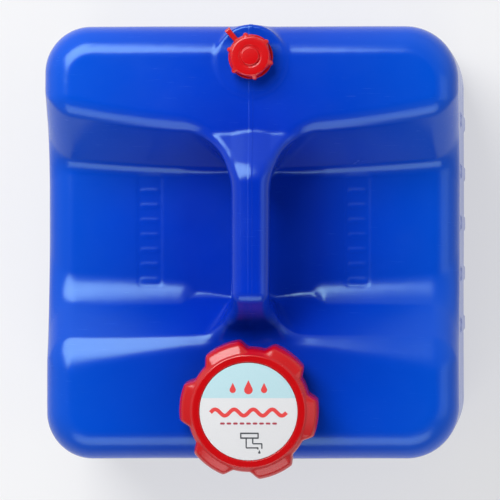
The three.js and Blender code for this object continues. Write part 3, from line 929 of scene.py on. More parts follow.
SEAM_BAND = 2.45  # half width of the fine grid over the mould seam
SEAM_LINES = 15
GRID_STOPS_Y = [(-149, 1.8), (-124, 2.5), (-68, 1.5), (-36, 1.0), (46, 1.5), (98, 1.4)]
GRID_STOPS_Z = [(-1.5, 2.0), (24, 5.0), (298, 1.2)]
GRID_END_X, GRID_END_Y, GRID_END_Z = 143.0, 149.6, 389.0
SETTLE_ROUNDS = 4
SETTLE_REACH = 0.02  # step in mm for reading the field's slope
LEAST_SLOPE = 0.2


@dataclass
class CanBody:
    """The blow-moulded can: rear ridge, hand valleys, bridge handle, shoulder and bosses, with the necks'
    mouths cut open.
    """

    half_width: float = 139.5
    half_depth: float = 146.0
    corner_left: float = 31.0
    corner_right: float = 36.0
    side_edge: float = 18.0
    end_edge: float = 22.0
    base_edge: float = 20.0
    ridge_top: float = 370.0
    shoulder_top: float = 350.0
    floor: float = 320.0
    rear_crest: float = 76.0
    rear_crest_curve: float = 0.00092
    rear_foot: float = 49.0
    rear_foot_curve: float = 0.0003
    front_crest: float = 61.5
    front_crest_slant: float = 0.09
    front_foot: float = 37.5
    front_foot_slant: float = 0.045
    crest_radius: float = 8.0
    foot_radius: float = 5.5
    front_foot_radius: float = 7.5
    foot_change: Range = (-10.0, 24.0)
    crest_full_x: float = 50.0
    brow_edge: float = 2.5
    brow_growth: float = 0.055
    rim_change: Range = (105.0, 140.0)
    grip_fillet: float = 4.0
    fillet_change: Range = (14.0, 36.0)
    grip_half: float = 13.0
    grip_top: float = 387.0
    grip_edge: float = 7.0
    grip_crown: float = 0.012
    ramp_start: float = 48.0
    ramp_end: float = 75.0
    drop_start: float = 38.0
    drop_end: float = 62.0
    ramp_edge: float = 3.7
    ramp_fill: float = 0.9
    drop_edge: float = 4.5
    drop_fill: float = 5.5
    gap_rear: float = 45.0
    gap_front: float = 36.0
    gap_top: float = 361.0
    gap_radius: float = 14.0
    gap_low: float = 290.0
    gap_half_x: float = 42.0
    flare_foot: float = 3.0
    rear_flare: float = 34.0
    rear_flare_most: float = 42.0
    front_flare: float = 22.0
    front_flare_most: float = 30.0
    boss_edge: float = 2.0
    tap_boss: float = 34.0
    tap_boss_depth: float = 40.0
    tap_boss_fillet: float = 5.0
    vent_boss: float = 24.3
    vent_boss_y: float = 122.5
    vent_boss_low: float = 300.0
    vent_boss_full: float = 350.0
    vent_boss_taper: float = 0.12
    vent_boss_sink: float = 0.05
    vent_boss_fillet: float = 2.5
    rib_count: int = 5
    rib_pitch: float = 35.0
    rib_centre: float = 14.0
    rib_half: float = 5.0
    rib_low: float = 70.0
    rib_high: float = 285.0
    rib_proud: float = 1.2
    rib_fade: Range = (-1.2, 1.4)
    rib_from_x: float = 120.0
    panel_x: float = 70.5
    panel_half_x: float = 8.4
    panel_y: float = 8.0
    panel_half_y: float = 38.0
    panel_corner: float = 3.0
    panel_depth: float = 0.30
    panel_fade: Range = (-0.7, 0.9)
    bar_reach: float = 4.6
    bar_half: float = 1.7
    bar_proud: float = 0.30
    bar_fade: Range = (-0.9, 1.2)
    bar_count: int = 7
    bar_pitch: float = 10.0
    bar_centre: float = 5.0
    seam_half: float = 1.25
    seam_proud: float = 0.18
    seam_fade: Range = (0.5, 6.0)
    wall: float = 2.4
    bulge: float = 0.54
    bulge_height: float = 330.0
    sway: float = 0.22
    sway_x: float = 21.0
    sway_y: float = 27.0
    sway_z: float = 60.0
    sway_fade: Range = (4.0, 30.0)
    tap_mouth: float = 28.6
    tap_mouth_depth: float = 20.0
    vent_mouth: float = 8.6
    vent_mouth_low: float = 360.0
    finish: MouldedPlastic = MouldedPlastic(
        "blow_moulded_blue", (0.0, 0.021, 0.365), (0.0, 0.090, 0.60),
        # outer is a painted sheen: lighter blue towards the outer edges
        roughness=0.225, glint=(0.50, 0.86, 1.0), outer=(0.0, 0.061, 0.49),
    )

    def plan(self, x: Array, y: Array, z: Array) -> Array:
        """Distance to the upright walls, with their bulge and the side ribs.

        Args:
            x: Frame x in mm.
            y: Frame y in mm.
            z: Frame z in mm.

        Returns:
            Signed distance in mm.
        """
        corner = np.where(x < 0, self.corner_left, self.corner_right)
        across = np.abs(x) - (self.half_width - corner)
        along = np.abs(y) - (self.half_depth - corner)
        walls = round_rectangle(across, along, corner)
        bulge = self.bulge * np.sin(math.pi * np.clip(z, 0, self.bulge_height) / self.bulge_height)
        rib = np.full(np.broadcast(y, z).shape, np.inf)
        middle, half = (self.rib_low + self.rib_high) / 2, (self.rib_high - self.rib_low) / 2
        for index in range(self.rib_count):
            rib_y = self.rib_centre + self.rib_pitch * (index - (self.rib_count - 1) / 2)
            reach = np.maximum(np.abs(z - middle) - (half - self.rib_half), 0)
            rib = np.minimum(rib, np.hypot(y - rib_y, reach) - self.rib_half)
        proud = self.rib_proud * smooth_step(-rib, *self.rib_fade) * (np.abs(x) > self.rib_from_x)
        return walls - bulge - proud

    def handle_top(self, x: Array, y: Array, z: Array, rear: bool) -> Array:
        """Distance to the tops: the grip, its slope, and the ridge or shoulder beyond.

        Args:
            x: Frame x in mm.
            y: Frame y in mm.
            z: Frame z in mm.
            rear: Whether to read the ridge side.

        Returns:
            Signed distance in mm.
        """
        if rear:
            far, start, run = self.ridge_top, self.ramp_start, self.ramp_end - self.ramp_start
            away, edge, fill = y, self.ramp_edge, self.ramp_fill
        else:
            far, start, run = self.shoulder_top, self.drop_start, self.drop_end - self.drop_start
            away, edge, fill = -y, self.drop_edge, self.drop_fill
        drop = self.grip_top - far
        slope = ((away - start) * drop + (z - self.grip_top) * run) / math.hypot(drop, run)
        crown = self.grip_crown * np.minimum(np.abs(x), self.grip_half) ** 2
        level = round_meet(z - self.grip_top + crown, slope + 0.5 * crown, edge)
        return round_join(level, z - far, fill)

    def panels(self, x: Array, y: Array) -> Array:
        """Height of the valley floor's shallow panels and their grip bars.

        Args:
            x: Frame x in mm.
            y: Frame y in mm.

        Returns:
            Height above the plain floor in mm.
        """
        off = np.abs(x) - self.panel_x
        panel_x = np.abs(off) - (self.panel_half_x - self.panel_corner)
        panel_y = np.abs(y - self.panel_y) - (self.panel_half_y - self.panel_corner)
        panel = round_rectangle(panel_x, panel_y, self.panel_corner)
        height = -self.panel_depth * smooth_step(-panel, *self.panel_fade)
        for index in range(self.bar_count):
            bar_y = self.bar_centre + self.bar_pitch * (index - (self.bar_count - 1) / 2)
            bar = np.hypot(np.maximum(np.abs(off) - self.bar_reach, 0), y - bar_y) - self.bar_half
            height = height + self.bar_proud * smooth_step(-bar, *self.bar_fade)
        return height

    def distance(self, x: Array, y: Array, z: Array) -> Array:
        """Signed distance to the can's outer skin.

        Args:
            x: Frame x in mm.
            y: Frame y in mm.
            z: Frame z in mm.

        Returns:
            Signed distance in mm, negative inside.
        """
        off = np.abs(x)
        side = off - self.grip_half
        outward = smooth_step(off, self.grip_half, self.crest_full_x)

        crest = self.rear_crest + self.rear_crest_curve * x * x
        foot = self.rear_foot + self.rear_foot_curve * x * x
        rise = self.ridge_top - self.floor
        lean = (crest - foot) / rise
        wall = (foot + lean * (z - self.floor) - y) / np.sqrt(1 + lean * lean)
        flare = self.flare_foot + self.rear_flare * (z - self.floor) / rise
        flare = np.clip(flare, self.flare_foot, self.rear_flare_most)
        edge = self.grip_edge + (self.crest_radius - self.grip_edge) * outward
        rear = round_meet(round_join(side, wall, flare), self.handle_top(x, y, z, True), edge)

        crest = -(self.front_crest + self.front_crest_slant * off)
        foot = -(self.front_foot - self.front_foot_slant * off)
        rise = self.shoulder_top - self.floor
        lean = (crest - foot) / rise
        wall = (y - foot - lean * (z - self.floor)) / np.sqrt(1 + lean * lean)
        flare = self.flare_foot + self.front_flare * (z - self.floor) / rise
        flare = np.clip(flare, self.flare_foot, self.front_flare_most)
        brow = self.brow_edge + self.brow_growth * off
        edge = self.grip_edge + (brow - self.grip_edge) * outward
        front = round_meet(round_join(side, wall, flare), self.handle_top(x, y, z, False), edge)
        upper = np.where(y > 0, rear, front)

        gap_y, gap_half = (self.gap_rear - self.gap_front) / 2, (self.gap_rear + self.gap_front) / 2
        gap_z, gap_rise = (self.gap_top + self.gap_low) / 2, (self.gap_top - self.gap_low) / 2
        across = np.abs(y - gap_y) - (gap_half - self.gap_radius)
        up = np.abs(z - gap_z) - (gap_rise - self.gap_radius)
        gap = round_rectangle(across, up, self.gap_radius)
        upper = round_meet(upper, -np.maximum(gap, off - self.gap_half_x), self.grip_edge)

        towards_front = smooth_step(-y, *self.foot_change)
        foot = self.foot_radius + (self.front_foot_radius - self.foot_radius) * towards_front
        fillet = self.grip_fillet + (foot - self.grip_fillet) * smooth_step(off, *self.fillet_change)
        level = z - self.floor - self.panels(x, y)
        solid = round_join(upper, level, fillet)

        towards_end = smooth_step(np.abs(y), *self.rim_change)
        rim = self.side_edge + (self.end_edge - self.side_edge) * towards_end
        solid = round_meet(solid, self.plan(x, y, z), rim)
        solid = round_meet(solid, -z, self.base_edge)

        taper = self.vent_boss_taper * np.maximum(0, self.vent_boss_full - z)
        vent = np.hypot(x, y - self.vent_boss_y) - (self.vent_boss - taper)
        vent = round_meet(vent, z - self.ridge_top + self.vent_boss_sink, self.boss_edge)
        vent = np.maximum(vent, self.vent_boss_low - z)
        solid = round_join(solid, vent, self.vent_boss_fillet)
        tap_x, tap_y, tap_z = TAP_AXIS.local(x, y, z)
        tap = round_meet(np.hypot(tap_x, tap_y) - self.tap_boss, tap_z, self.boss_edge)
        tap = np.maximum(tap, -tap_z - self.tap_boss_depth)
        solid = round_join(solid, tap, self.tap_boss_fillet)

        inner, outer = -self.seam_half - 0.35, -self.seam_half + 0.15  # the seam's soft flank
        seam = self.seam_proud * smooth_step(-off, inner, outer) * smooth_step(z, *self.seam_fade)
        wave_x, wave_y, wave_z = x / self.sway_x + 0.7, y / self.sway_y + 0.4, z / self.sway_z
        sway = self.sway * np.sin(wave_x) * np.sin(wave_y) * np.cos(wave_z)
        return solid - seam - sway * smooth_step(z, *self.sway_fade)

    def skin(self) -> tuple[Array, Array]:
        """Skin the can's outer surface and settle every point on it.

        Returns:
            Points in mm and four corner numbers per face.
        """
        half = grid_lines([(SEAM_BAND, 1.2), (22, 1.8), (61, 1.0), (81, 3.0), (119, 1.8)], GRID_END_X)
        seam = np.linspace(-SEAM_BAND, SEAM_BAND, SEAM_LINES)[1:-1]
        xs = np.concatenate([-half[::-1], seam, half])
        ys = grid_lines(GRID_STOPS_Y, GRID_END_Y)
        zs = grid_lines(GRID_STOPS_Z, GRID_END_Z)
        values = self.distance(xs[:, None, None], ys[None, :, None], zs[None, None, :])
        points, faces = surface_net(xs, ys, zs, values)
        reach = SETTLE_REACH
        for _ in range(SETTLE_ROUNDS):
            x, y, z = points.T
            here = self.distance(x, y, z)
            slope = np.stack([
                self.distance(x + reach, y, z) - self.distance(x - reach, y, z),
                self.distance(x, y + reach, z) - self.distance(x, y - reach, z),
                self.distance(x, y, z + reach) - self.distance(x, y, z - reach),
            ], axis=1) / (2 * reach)
            size = np.maximum((slope ** 2).sum(axis=1), LEAST_SLOPE)
            move = -(here / size)[:, None] * slope
            length = np.linalg.norm(move, axis=1, keepdims=True)
            points = points + move * np.minimum(1.0, 1.0 / np.maximum(length, 1e-9))
        return points, faces

    def build(self) -> bpy.types.Object:
        """Build the can with its mouths open and its wall thick.

        Returns:
            The can.
        """
        points, faces = self.skin()
        centre = points[faces].mean(axis=1)
        tap_x, tap_y, tap_z = TAP_AXIS.local(*centre.T)
        in_tap = (np.hypot(tap_x, tap_y) < self.tap_mouth) & (tap_z > -self.tap_mouth_depth)
        from_vent = np.hypot(centre[:, 0], centre[:, 1] - VENT_AXIS.y)
        in_vent = (from_vent < self.vent_mouth) & (centre[:, 2] > self.vent_mouth_low)
        faces = faces[~(in_tap | in_vent)]
        used = np.unique(faces)
        renumber = np.zeros(len(points), np.int64)
        renumber[used] = np.arange(len(used))
        can = make_object("can_shell", points[used], renumber[faces].tolist(), self.finish.material())
        shell = can.modifiers.new("Wall", "SOLIDIFY")
        shell.thickness = self.wall * MM
        shell.offset = -1.0
        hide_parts("can_body")
        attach(can, Body.CAN.value)
        return can


@dataclass
class ThreadedNeck:
    """A round neck with an outside screw thread, moulded with the can."""

    name: str
    axis: Lean
    core: float
    bore: float
    crest: float
    low: float
    top: float
    thread_low: float
    pitch: float
    turns: float
    ridge_half: float
    lip: float = 1.2
    lip_edge: float = 0.9
    run_out: Range = (-0.02, 0.10)
    steps: int = 160
    outer_points: int = 70

    def build(self, finish: bpy.types.Material) -> bpy.types.Object:
        """Build the neck as a closed tube.

        Args:
            finish: The can's finish.

        Returns:
            The neck.
        """
        steps = self.steps
        angles = np.linspace(0, TURN, steps, endpoint=False)
        shoulder = self.top - self.lip
        outer_z = np.linspace(self.low, shoulder, self.outer_points)
        lip = rounded_path(
            np.array([
                (self.core, shoulder), (self.core, self.top),
                (self.bore, self.top), (self.bore, shoulder),
            ]), [0, self.lip_edge, self.lip_edge, 0], 4,
        )
        inner_z = np.linspace(self.top - 1.4, self.low, 6)
        heights = np.concatenate([outer_z, lip[1:, 1], inner_z])
        outside = np.full(len(outer_z), self.core)
        radii = np.concatenate([outside, lip[1:, 0], np.full(len(inner_z), self.bore)])
        radii = np.tile(radii, (steps, 1))
        climbed = (outer_z[None, :] - self.thread_low) / self.pitch - angles[:, None] / TURN
        off = (climbed - np.round(climbed)) * self.pitch
        turn = np.round(climbed) + angles[:, None] / TURN
        before, after = self.run_out
        ends = smooth_step(-turn, -self.turns + before, -self.turns + after)
        within = smooth_step(turn, before, after) * ends
        ridge = smooth_step(-np.abs(off), -self.ridge_half, -0.35 * self.ridge_half) * within
        radii[:, : len(outer_z)] += (self.crest - self.core) * ridge
        points, faces = turned_skin(radii, np.tile(heights, (steps, 1)), angles, True)
        neck = make_object(self.name, self.axis.place(points), faces, finish)
        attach(neck, Body.CAN.value)
        return neck


# The tap cap


@dataclass
class TapCap:
    """The lobed screw cap that stores the tap, with its round label."""

    low: float = 355.5
    top: float = 385.0
    rim: float = 38.5
    notch: float = 41.6
    lobe: float = 46.9
    inner: float = 33.0
    plate_low: float = 382.0
    collar_low: float = 369.0
    collar: float = 17.0
    collar_bore: float = 13.3
    lobes: int = 6
    first_lobe: float = -7.0
    lobe_full: float = 14.5
    lobe_end: float = 22.5
    label: float = 32.8
    finish: MouldedPlastic = MouldedPlastic(
        "moulded_red", (0.43, 0.0, 0.002), (0.58, 0.02, 0.02),
        roughness=0.25, peel_scale=240.0, peel_depth=0.00003, scratch_share=0.18,
    )
    film: PrintedFilm = PrintedFilm("label_film", (0.335, 0.52, 0.57), (0.55, 0.555, 0.57), -0.1040)

    def profile(self, share: float) -> Array:
        """Draw the cap's section in a notch, in a lobe, or between.

        Args:
            share: 0 in a notch and 1 in a lobe.

        Returns:
            Radius and height of each point, from the top's middle to the plate's underside.
        """
        top = self.top
        bead = [
            (self.label + 0.35, top - 0.45), (self.label + 0.6, top + 0.35), (self.rim - 0.6, top + 0.45),
        ]
        notch = bead + [
            (self.rim + 0.4, top - 1.3), (self.notch - 0.8, top - 3.8), (self.notch, top - 7.5),
            (self.notch - 0.3, self.low), (self.notch - 3.0, self.low),
        ]
        lobe = bead + [
            (self.rim + 0.6, top - 1.1), (self.lobe - 2.2, top - 3.4), (self.lobe, top - 7.5),
            (self.lobe - 0.5, self.low), (self.lobe - 3.0, self.low),
        ]
        mixed = [
            tuple((1 - share) * a + share * b for a, b in zip(n, p)) for n, p in zip(notch, lobe)
        ]
        inside = [
            (self.inner + 0.6, self.low), (self.inner, self.low + 1.2), (self.inner, self.plate_low),
            (self.collar, self.plate_low), (self.collar, self.collar_low),
            (self.collar_bore, self.collar_low), (self.collar_bore, self.plate_low),
            (1.0, self.plate_low),
        ]
        corners = np.array([(1.0, top - 0.45)] + mixed + inside)
        radii = [0, 0.25, 0.5, 1.6, 1.2, 1.6, 2.2, 1.2, 1.0, 0.6, 0.5, 0.8, 0.8, 0.6, 0.6, 0.5, 0]
        return rounded_path(corners, radii, 5)

    def build(self) -> list[bpy.types.Object]:
        """Build the cap, its label and the label's print.

        Returns:
            The pieces.
        """
        steps = 360
        degrees = np.arange(steps) * 360.0 / steps
        pitch = 360.0 / self.lobes
        off = np.abs((degrees - self.first_lobe + pitch / 2) % pitch - pitch / 2)
        shares = np.clip((self.lobe_end - off) / (self.lobe_end - self.lobe_full), 0, 1)
        shares = 0.55 * shares + 0.45 * shares * shares * (3 - 2 * shares)
        notch, lobe = self.profile(0.0), self.profile(1.0)
        radii = notch[None, :, 0] + (lobe - notch)[None, :, 0] * shares[:, None]
        heights = notch[None, :, 1] + (lobe - notch)[None, :, 1] * shares[:, None]
        points, faces = turned_skin(radii, heights, np.radians(degrees), False)
        cap = make_object("tap_cap_shell", TAP_AXIS.place(points), faces, self.finish.material())
        sharpen(cap, 50)
        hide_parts("tap_cap")
        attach(cap, Body.TAP_CAP.value)

        low, high = self.top - 0.43, self.top - 0.05
        section = rounded_path(
            np.array([(0.5, high), (self.label, high), (self.label, low), (0.5, low)]), [0, 0.15, 0.1, 0], 3
        )
        points, faces = plain_turned(section, 128, False)
        label = make_object("tap_cap_label", TAP_AXIS.place(points), faces, self.film.material())
        sharpen(label, 40)
        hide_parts("tap_label")
        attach(label, Body.TAP_CAP.value)
        return [cap, label] + LabelPrint(high).build()


@dataclass
class LabelPrint:
    """The label's print: drops, a wave, a row of dashes and a tap sign, all without lettering."""

    face: float
    thickness: float = 0.05
    red: PrintInk = PrintInk("ink_red", (0.62, 0.035, 0.035))
    wine: PrintInk = PrintInk("ink_wine", (0.34, 0.03, 0.055))
    grey: PrintInk = PrintInk("ink_grey", (0.045, 0.05, 0.06))

    def stroke(self, path: Array, width: float) -> Array:
        """Widen a path into an outline.

        Args:
            path: Points along the stroke's middle.
            width: The stroke's width.

        Returns:
            The closed outline, anticlockwise.
        """
        along = np.gradient(path, axis=0)
        along /= np.maximum(np.linalg.norm(along, axis=1, keepdims=True), 1e-9)
        side = np.stack([-along[:, 1], along[:, 0]], axis=1) * width / 2
        return np.vstack([path - side, (path + side)[::-1]])

    def bar(self, x: float, y: float, width: float, height: float, radius: float) -> Array:
        """Draw a rounded bar.

        Args:
            x: Middle across the label.
            y: Middle up the label.
            width: Width.
            height: Height.
            radius: Corner radius.

        Returns:
            The closed outline, anticlockwise.
        """
        outline = []
        for turn, (sx, sy) in enumerate(((1, -1), (1, 1), (-1, 1), (-1, -1))):
            centre = np.array([x + sx * (width / 2 - radius), y + sy * (height / 2 - radius)])
            for t in np.linspace(0, math.pi / 2, 5):
                angle = (turn - 1) * math.pi / 2 + t
                outline.append(centre + radius * np.array([math.cos(angle), math.sin(angle)]))
        return np.array(outline)

    def drop(self, x: float, y: float, size: float) -> Array:
        """Draw a water drop.

        Args:
            x: Middle across the label.
            y: Middle of the round end.
            size: The round end's radius.

        Returns:
            The closed outline, anticlockwise.
        """
        angles = np.radians(np.linspace(-215, 35, 22))
        outline = np.stack([x + size * np.cos(angles), y + size * np.sin(angles)], axis=1)
        return np.vstack([outline, [[x, y + 2.3 * size]]])

    def stamp(self, name: str, outlines: list[Array], ink: PrintInk) -> bpy.types.Object:
        """Lay printed shapes on the label.

        Args:
            name: The print's name.
            outlines: Closed outlines about the label's middle.
            ink: The ink.

        Returns:
            The print.
        """
        points, faces = [], []
        for outline in outlines:
            first, count = len(points), len(outline)
            points.extend((x, y, self.face - 0.01) for x, y in outline)
            points.extend((x, y, self.face + self.thickness) for x, y in outline)
            faces.append(list(range(first + count - 1, first - 1, -1)))
            faces.append(list(range(first + count, first + 2 * count)))
            for index in range(count):
                after = (index + 1) % count
                faces.append([first + index, first + after, first + count + after, first + count + index])
        printed = make_object(name, TAP_AXIS.place(np.array(points)), faces, ink.material())
        sharpen(printed, 30)
        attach(printed, Body.TAP_CAP.value)
        return printed

    def build(self) -> list[bpy.types.Object]:
        """Build the three inks' prints.

        Returns:
            The prints.
        """
        across = np.linspace(-25.5, 25.5, 120)
        wave = np.stack([across, 2.1 * np.sin(across / 25.5 * 4 * math.pi) - 0.6], axis=1)
        red = [self.stroke(wave, 2.6)]
        red += [self.drop(x, 14.6, size) for x, size in ((-10.5, 2.1), (0.0, 2.9), (10.5, 2.1))]
        wine = [self.bar(x, -8.0, 3.1, 1.4, 0.6) for x in np.linspace(-17.5, 17.5, 9)]
        sign = [
            self.bar(0.6, -14.6, 12.4, 1.0, 0.4), self.bar(0.6, -17.8, 12.4, 1.0, 0.4),
            self.bar(-5.2, -16.2, 0.9, 3.6, 0.4), self.bar(6.4, -16.2, 0.9, 3.6, 0.4),
            self.bar(-1.6, -21.2, 0.9, 6.4, 0.4), self.bar(2.8, -19.8, 0.9, 3.8, 0.4),
            self.bar(6.0, -21.6, 6.4, 0.9, 0.4), self.bar(8.9, -23.3, 0.9, 3.6, 0.4),
            self.bar(2.4, -24.4, 8.4, 0.9, 0.4), self.drop(7.2, -27.6, 0.8),
            self.bar(6.2, -24.8, 0.9, 1.4, 0.4),
        ]
        return [
            self.stamp("label_print_red", red, self.red),
            self.stamp("label_print_wine", wine, self.wine),
            self.stamp("label_print_grey", sign, self.grey),
        ]


@dataclass
class StoredTap:
    """What the tap cap holds inside the can: gasket, washer and the tap with its plug and lever."""

    foam: SoftSeal = SoftSeal(
        "closed_cell_foam", (0.62, 0.63, 0.60), (0.75, 0.75, 0.72), 1600.0, 0.00008, 0.85
    )
    rubber: SoftSeal = SoftSeal(
        "seal_rubber", (0.018, 0.018, 0.02), (0.05, 0.05, 0.05), 2600.0, 0.00002, 0.62
    )
    white: MouldedPlastic = MouldedPlastic(
        "moulded_white", (0.74, 0.76, 0.72), (0.86, 0.86, 0.84), roughness=0.34, scratch_share=0.1
    )
    blue: MouldedPlastic = MouldedPlastic(
        "moulded_lever_blue", (0.02, 0.14, 0.60), (0.10, 0.26, 0.75), roughness=0.34, scratch_share=0.1
    )

    def build(self) -> list[bpy.types.Object]:
        """Build the gasket and dress the solids that are right as they are.

        Returns:
            The pieces.
        """
        section = ring_section(24.5, 32.6, 379.5, 381.8, 0.7)
        points, faces = plain_turned(section, 96, True)
        gasket = make_object("tap_cap_foam_gasket", TAP_AXIS.place(points), faces, self.foam.material())
        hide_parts("tap_cap_gasket")
        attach(gasket, Body.TAP_SEAL.value)
        dressed = {
            "tap_washer": self.rubber.material(),
            "tap_body": self.white.material(),
            "tap_lever": self.blue.material(),
        }
        dressed["tap_plug"] = dressed["tap_body"]
        dressed["plug_seal_front"] = dressed["plug_seal_rear"] = dressed["tap_washer"]
        pieces = [gasket]
        for name, material in dressed.items():
            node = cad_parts[name]
            node.data.materials.clear()
            node.data.materials.append(material)
            pieces.append(node)
        return pieces


# The vent


@dataclass
class VentCap:
    """The small ribbed cap with a round button, and its seal."""

    low: float = 374.2
    top: float = 386.0
    radius: float = 14.3
    knuckle: float = 1.7
    knuckle_at: float = 14.4
    knuckles: int = 6
    flattening: float = 0.9
    blend: float = 0.25
    first_knuckle: float = 42.0
    button: float = 6.1
    button_top: float = 387.1
    inner: float = 11.8
    plate_low: float = 383.7

    def build(self, finish: bpy.types.Material, foam: bpy.types.Material) -> list[bpy.types.Object]:
        """Build the cap and its seal.

        Args:
            finish: The red caps' finish.
            foam: The seals' foam.

        Returns:
            The pieces.
        """
        steps = 360
        angles = np.linspace(0, TURN, steps, endpoint=False)
        pitch = TURN / self.knuckles
        off = (angles - math.radians(self.first_knuckle) + pitch / 2) % pitch - pitch / 2
        round_off = self.radius - self.flattening * (1 - np.cos(off * self.knuckles)) / 2
        lateral = self.knuckle_at * np.sin(off)
        bump = np.sqrt(np.maximum(self.knuckle ** 2 - lateral ** 2, 0))
        reach = np.where(np.abs(lateral) < self.knuckle, self.knuckle_at * np.cos(off) + bump, 0)
        blend = self.blend
        mixed = np.maximum(round_off, reach)
        near = np.clip(1 - np.abs(round_off - reach) / (4 * blend), 0, 1)
        outline = mixed + blend * near * near
        corners = [
            (0.6, self.button_top), (self.button - 0.5, self.button_top),
            (self.button, self.button_top - 0.5),
            (self.button + 0.1, self.top - 0.35), (self.button + 1.1, self.top - 0.35),
            (self.button + 1.6, self.top), (12.3, self.top), (13.1, self.top - 0.5),
        ]
        base = rounded_path(np.array(corners), [0, 0.4, 0.3, 0.25, 0.25, 0.3, 0.5, 0], 4)
        tail = rounded_path(
            np.array([
                (self.inner + 0.6, self.low), (self.inner, self.low + 0.8),
                (self.inner, self.plate_low), (0.6, self.plate_low),
            ]), [0, 0.4, 0.6, 0], 4,
        )
        shoulder = [
            (0.97, 1.3), (0.99, 1.7), (1.0, 2.3), (1.0, 4.5),
            (1.0, 8.0), (1.0, 10.8), (0.99, 11.4), (0.96, 11.8),
        ]
        radii = np.column_stack([
            np.tile(base[:, 0], (steps, 1)),
            np.column_stack([outline * share for share, _ in shoulder]),
            np.tile(tail[:, 0], (steps, 1)),
        ])
        heights = np.tile(
            np.concatenate([base[:, 1], [self.top - drop for _, drop in shoulder], tail[:, 1]]), (steps, 1)
        )
        points, faces = turned_skin(radii, heights, angles, False)
        cap = make_object("vent_cap_shell", VENT_AXIS.place(points), faces, finish)
        sharpen(cap, 55)
        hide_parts("vent_cap")
        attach(cap, Body.VENT_CAP.value)

        section = rounded_path(
            np.array([(0.5, 383.6), (11.2, 383.6), (11.2, 382.2), (0.5, 382.2)]), [0, 0.3, 0.3, 0], 3
        )
        points, faces = plain_turned(section, 64, False)
        seal = make_object("vent_cap_foam_seal", VENT_AXIS.place(points), faces, foam)
        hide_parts("vent_cap_seal")
        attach(seal, Body.VENT_CAP.value)
        return [cap, seal]


@dataclass
class Tether:
    """The flexible tether: a ring on the neck, a ring under the cap and a folded strap between."""

    inner: float = 11.65
    outer: float = 15.0
    thickness: float = 1.6
    neck_ring: float = 370.65
    cap_ring: float = 372.55
    strap_width: float = 3.5
    strap_thick: float = 1.1
    reach: float = 24.5
    degrees: float = 131.0

    def build(self, finish: bpy.types.Material) -> list[bpy.types.Object]:
        """Build the two rings and the strap.

        Args:
            finish: The red caps' finish.

        Returns:
            The pieces.
        """
        pieces = []
        rings = (
            ("tether_ring_on_neck", self.neck_ring, "tether_neck_ring", Body.CAN),
            ("tether_ring_under_cap", self.cap_ring, "tether_cap_ring", Body.TETHER_RING),
        )
        for name, low, node, body in rings:
            points, faces = plain_turned(
                ring_section(self.inner, self.outer, low, low + self.thickness, 0.35), 96, True
            )
            ring = make_object(name, VENT_AXIS.place(points), faces, finish)
            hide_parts(node)
            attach(ring, body.value)
            pieces.append(ring)
        pieces.append(self.strap(finish))
        return pieces

    def strap(self, finish: bpy.types.Material) -> bpy.types.Object:
        """Build the folded strap.

        Args:
            finish: The red caps' finish.

        Returns:
            The strap.
        """
        low, high = self.neck_ring + self.thickness / 2, self.cap_ring + self.thickness / 2
        bend = (high - low) / 2
        middle, turn_at = (low + high) / 2, self.reach - bend - self.strap_thick / 2
        out = np.linspace(self.outer - 0.5, turn_at, 14)
        arc = np.linspace(-math.pi / 2, math.pi / 2, 13)[1:-1]
        path = np.vstack([
            np.column_stack([out, np.full(len(out), low)]),
            np.column_stack([turn_at + bend * np.cos(arc), middle + bend * np.sin(arc)]),
            np.column_stack([out[::-1], np.full(len(out), high)]),
        ])
        along = np.gradient(path, axis=0)
        along /= np.linalg.norm(along, axis=1, keepdims=True)
        normal = np.column_stack([-along[:, 1], along[:, 0]])
        half_w, half_t, edge = self.strap_width / 2, self.strap_thick / 2, 0.3
        section = rounded_path(
            np.array([
                (0, half_t), (-half_w, half_t), (-half_w, -half_t),
                (half_w, -half_t), (half_w, half_t), (0, half_t),
            ]), [0, edge, edge, edge, edge, 0], 3,
        )[:-1]
        rows, columns = len(path), len(section)
        swell = 1.0 + 0.22 * np.exp(-(((path[:, 0] - self.reach) / 1.6) ** 2))
        radial = path[:, None, 0] + section[None, :, 1] * normal[:, None, 0]
        height = path[:, None, 1] + section[None, :, 1] * normal[:, None, 1]
        across = section[None, :, 0] * swell[:, None]
        angle = math.radians(self.degrees)
        x = radial * math.cos(angle) - across * math.sin(angle)
        y = radial * math.sin(angle) + across * math.cos(angle)
        points = np.column_stack([x.ravel(), y.ravel(), height.ravel()])
        faces = []
        for row in range(rows - 1):
            for column in range(columns):
                after = (column + 1) % columns
                faces.append([
                    row * columns + column, row * columns + after,
                    (row + 1) * columns + after, (row + 1) * columns + column,
                ])
        faces.append(list(range(columns - 1, -1, -1)))
        faces.append(list(range((rows - 1) * columns, rows * columns)))
        strap = make_object("tether_strap_fold", VENT_AXIS.place(points), faces, finish)
        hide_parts("tether_strap")
        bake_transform(strap)
        return strap


# The studio


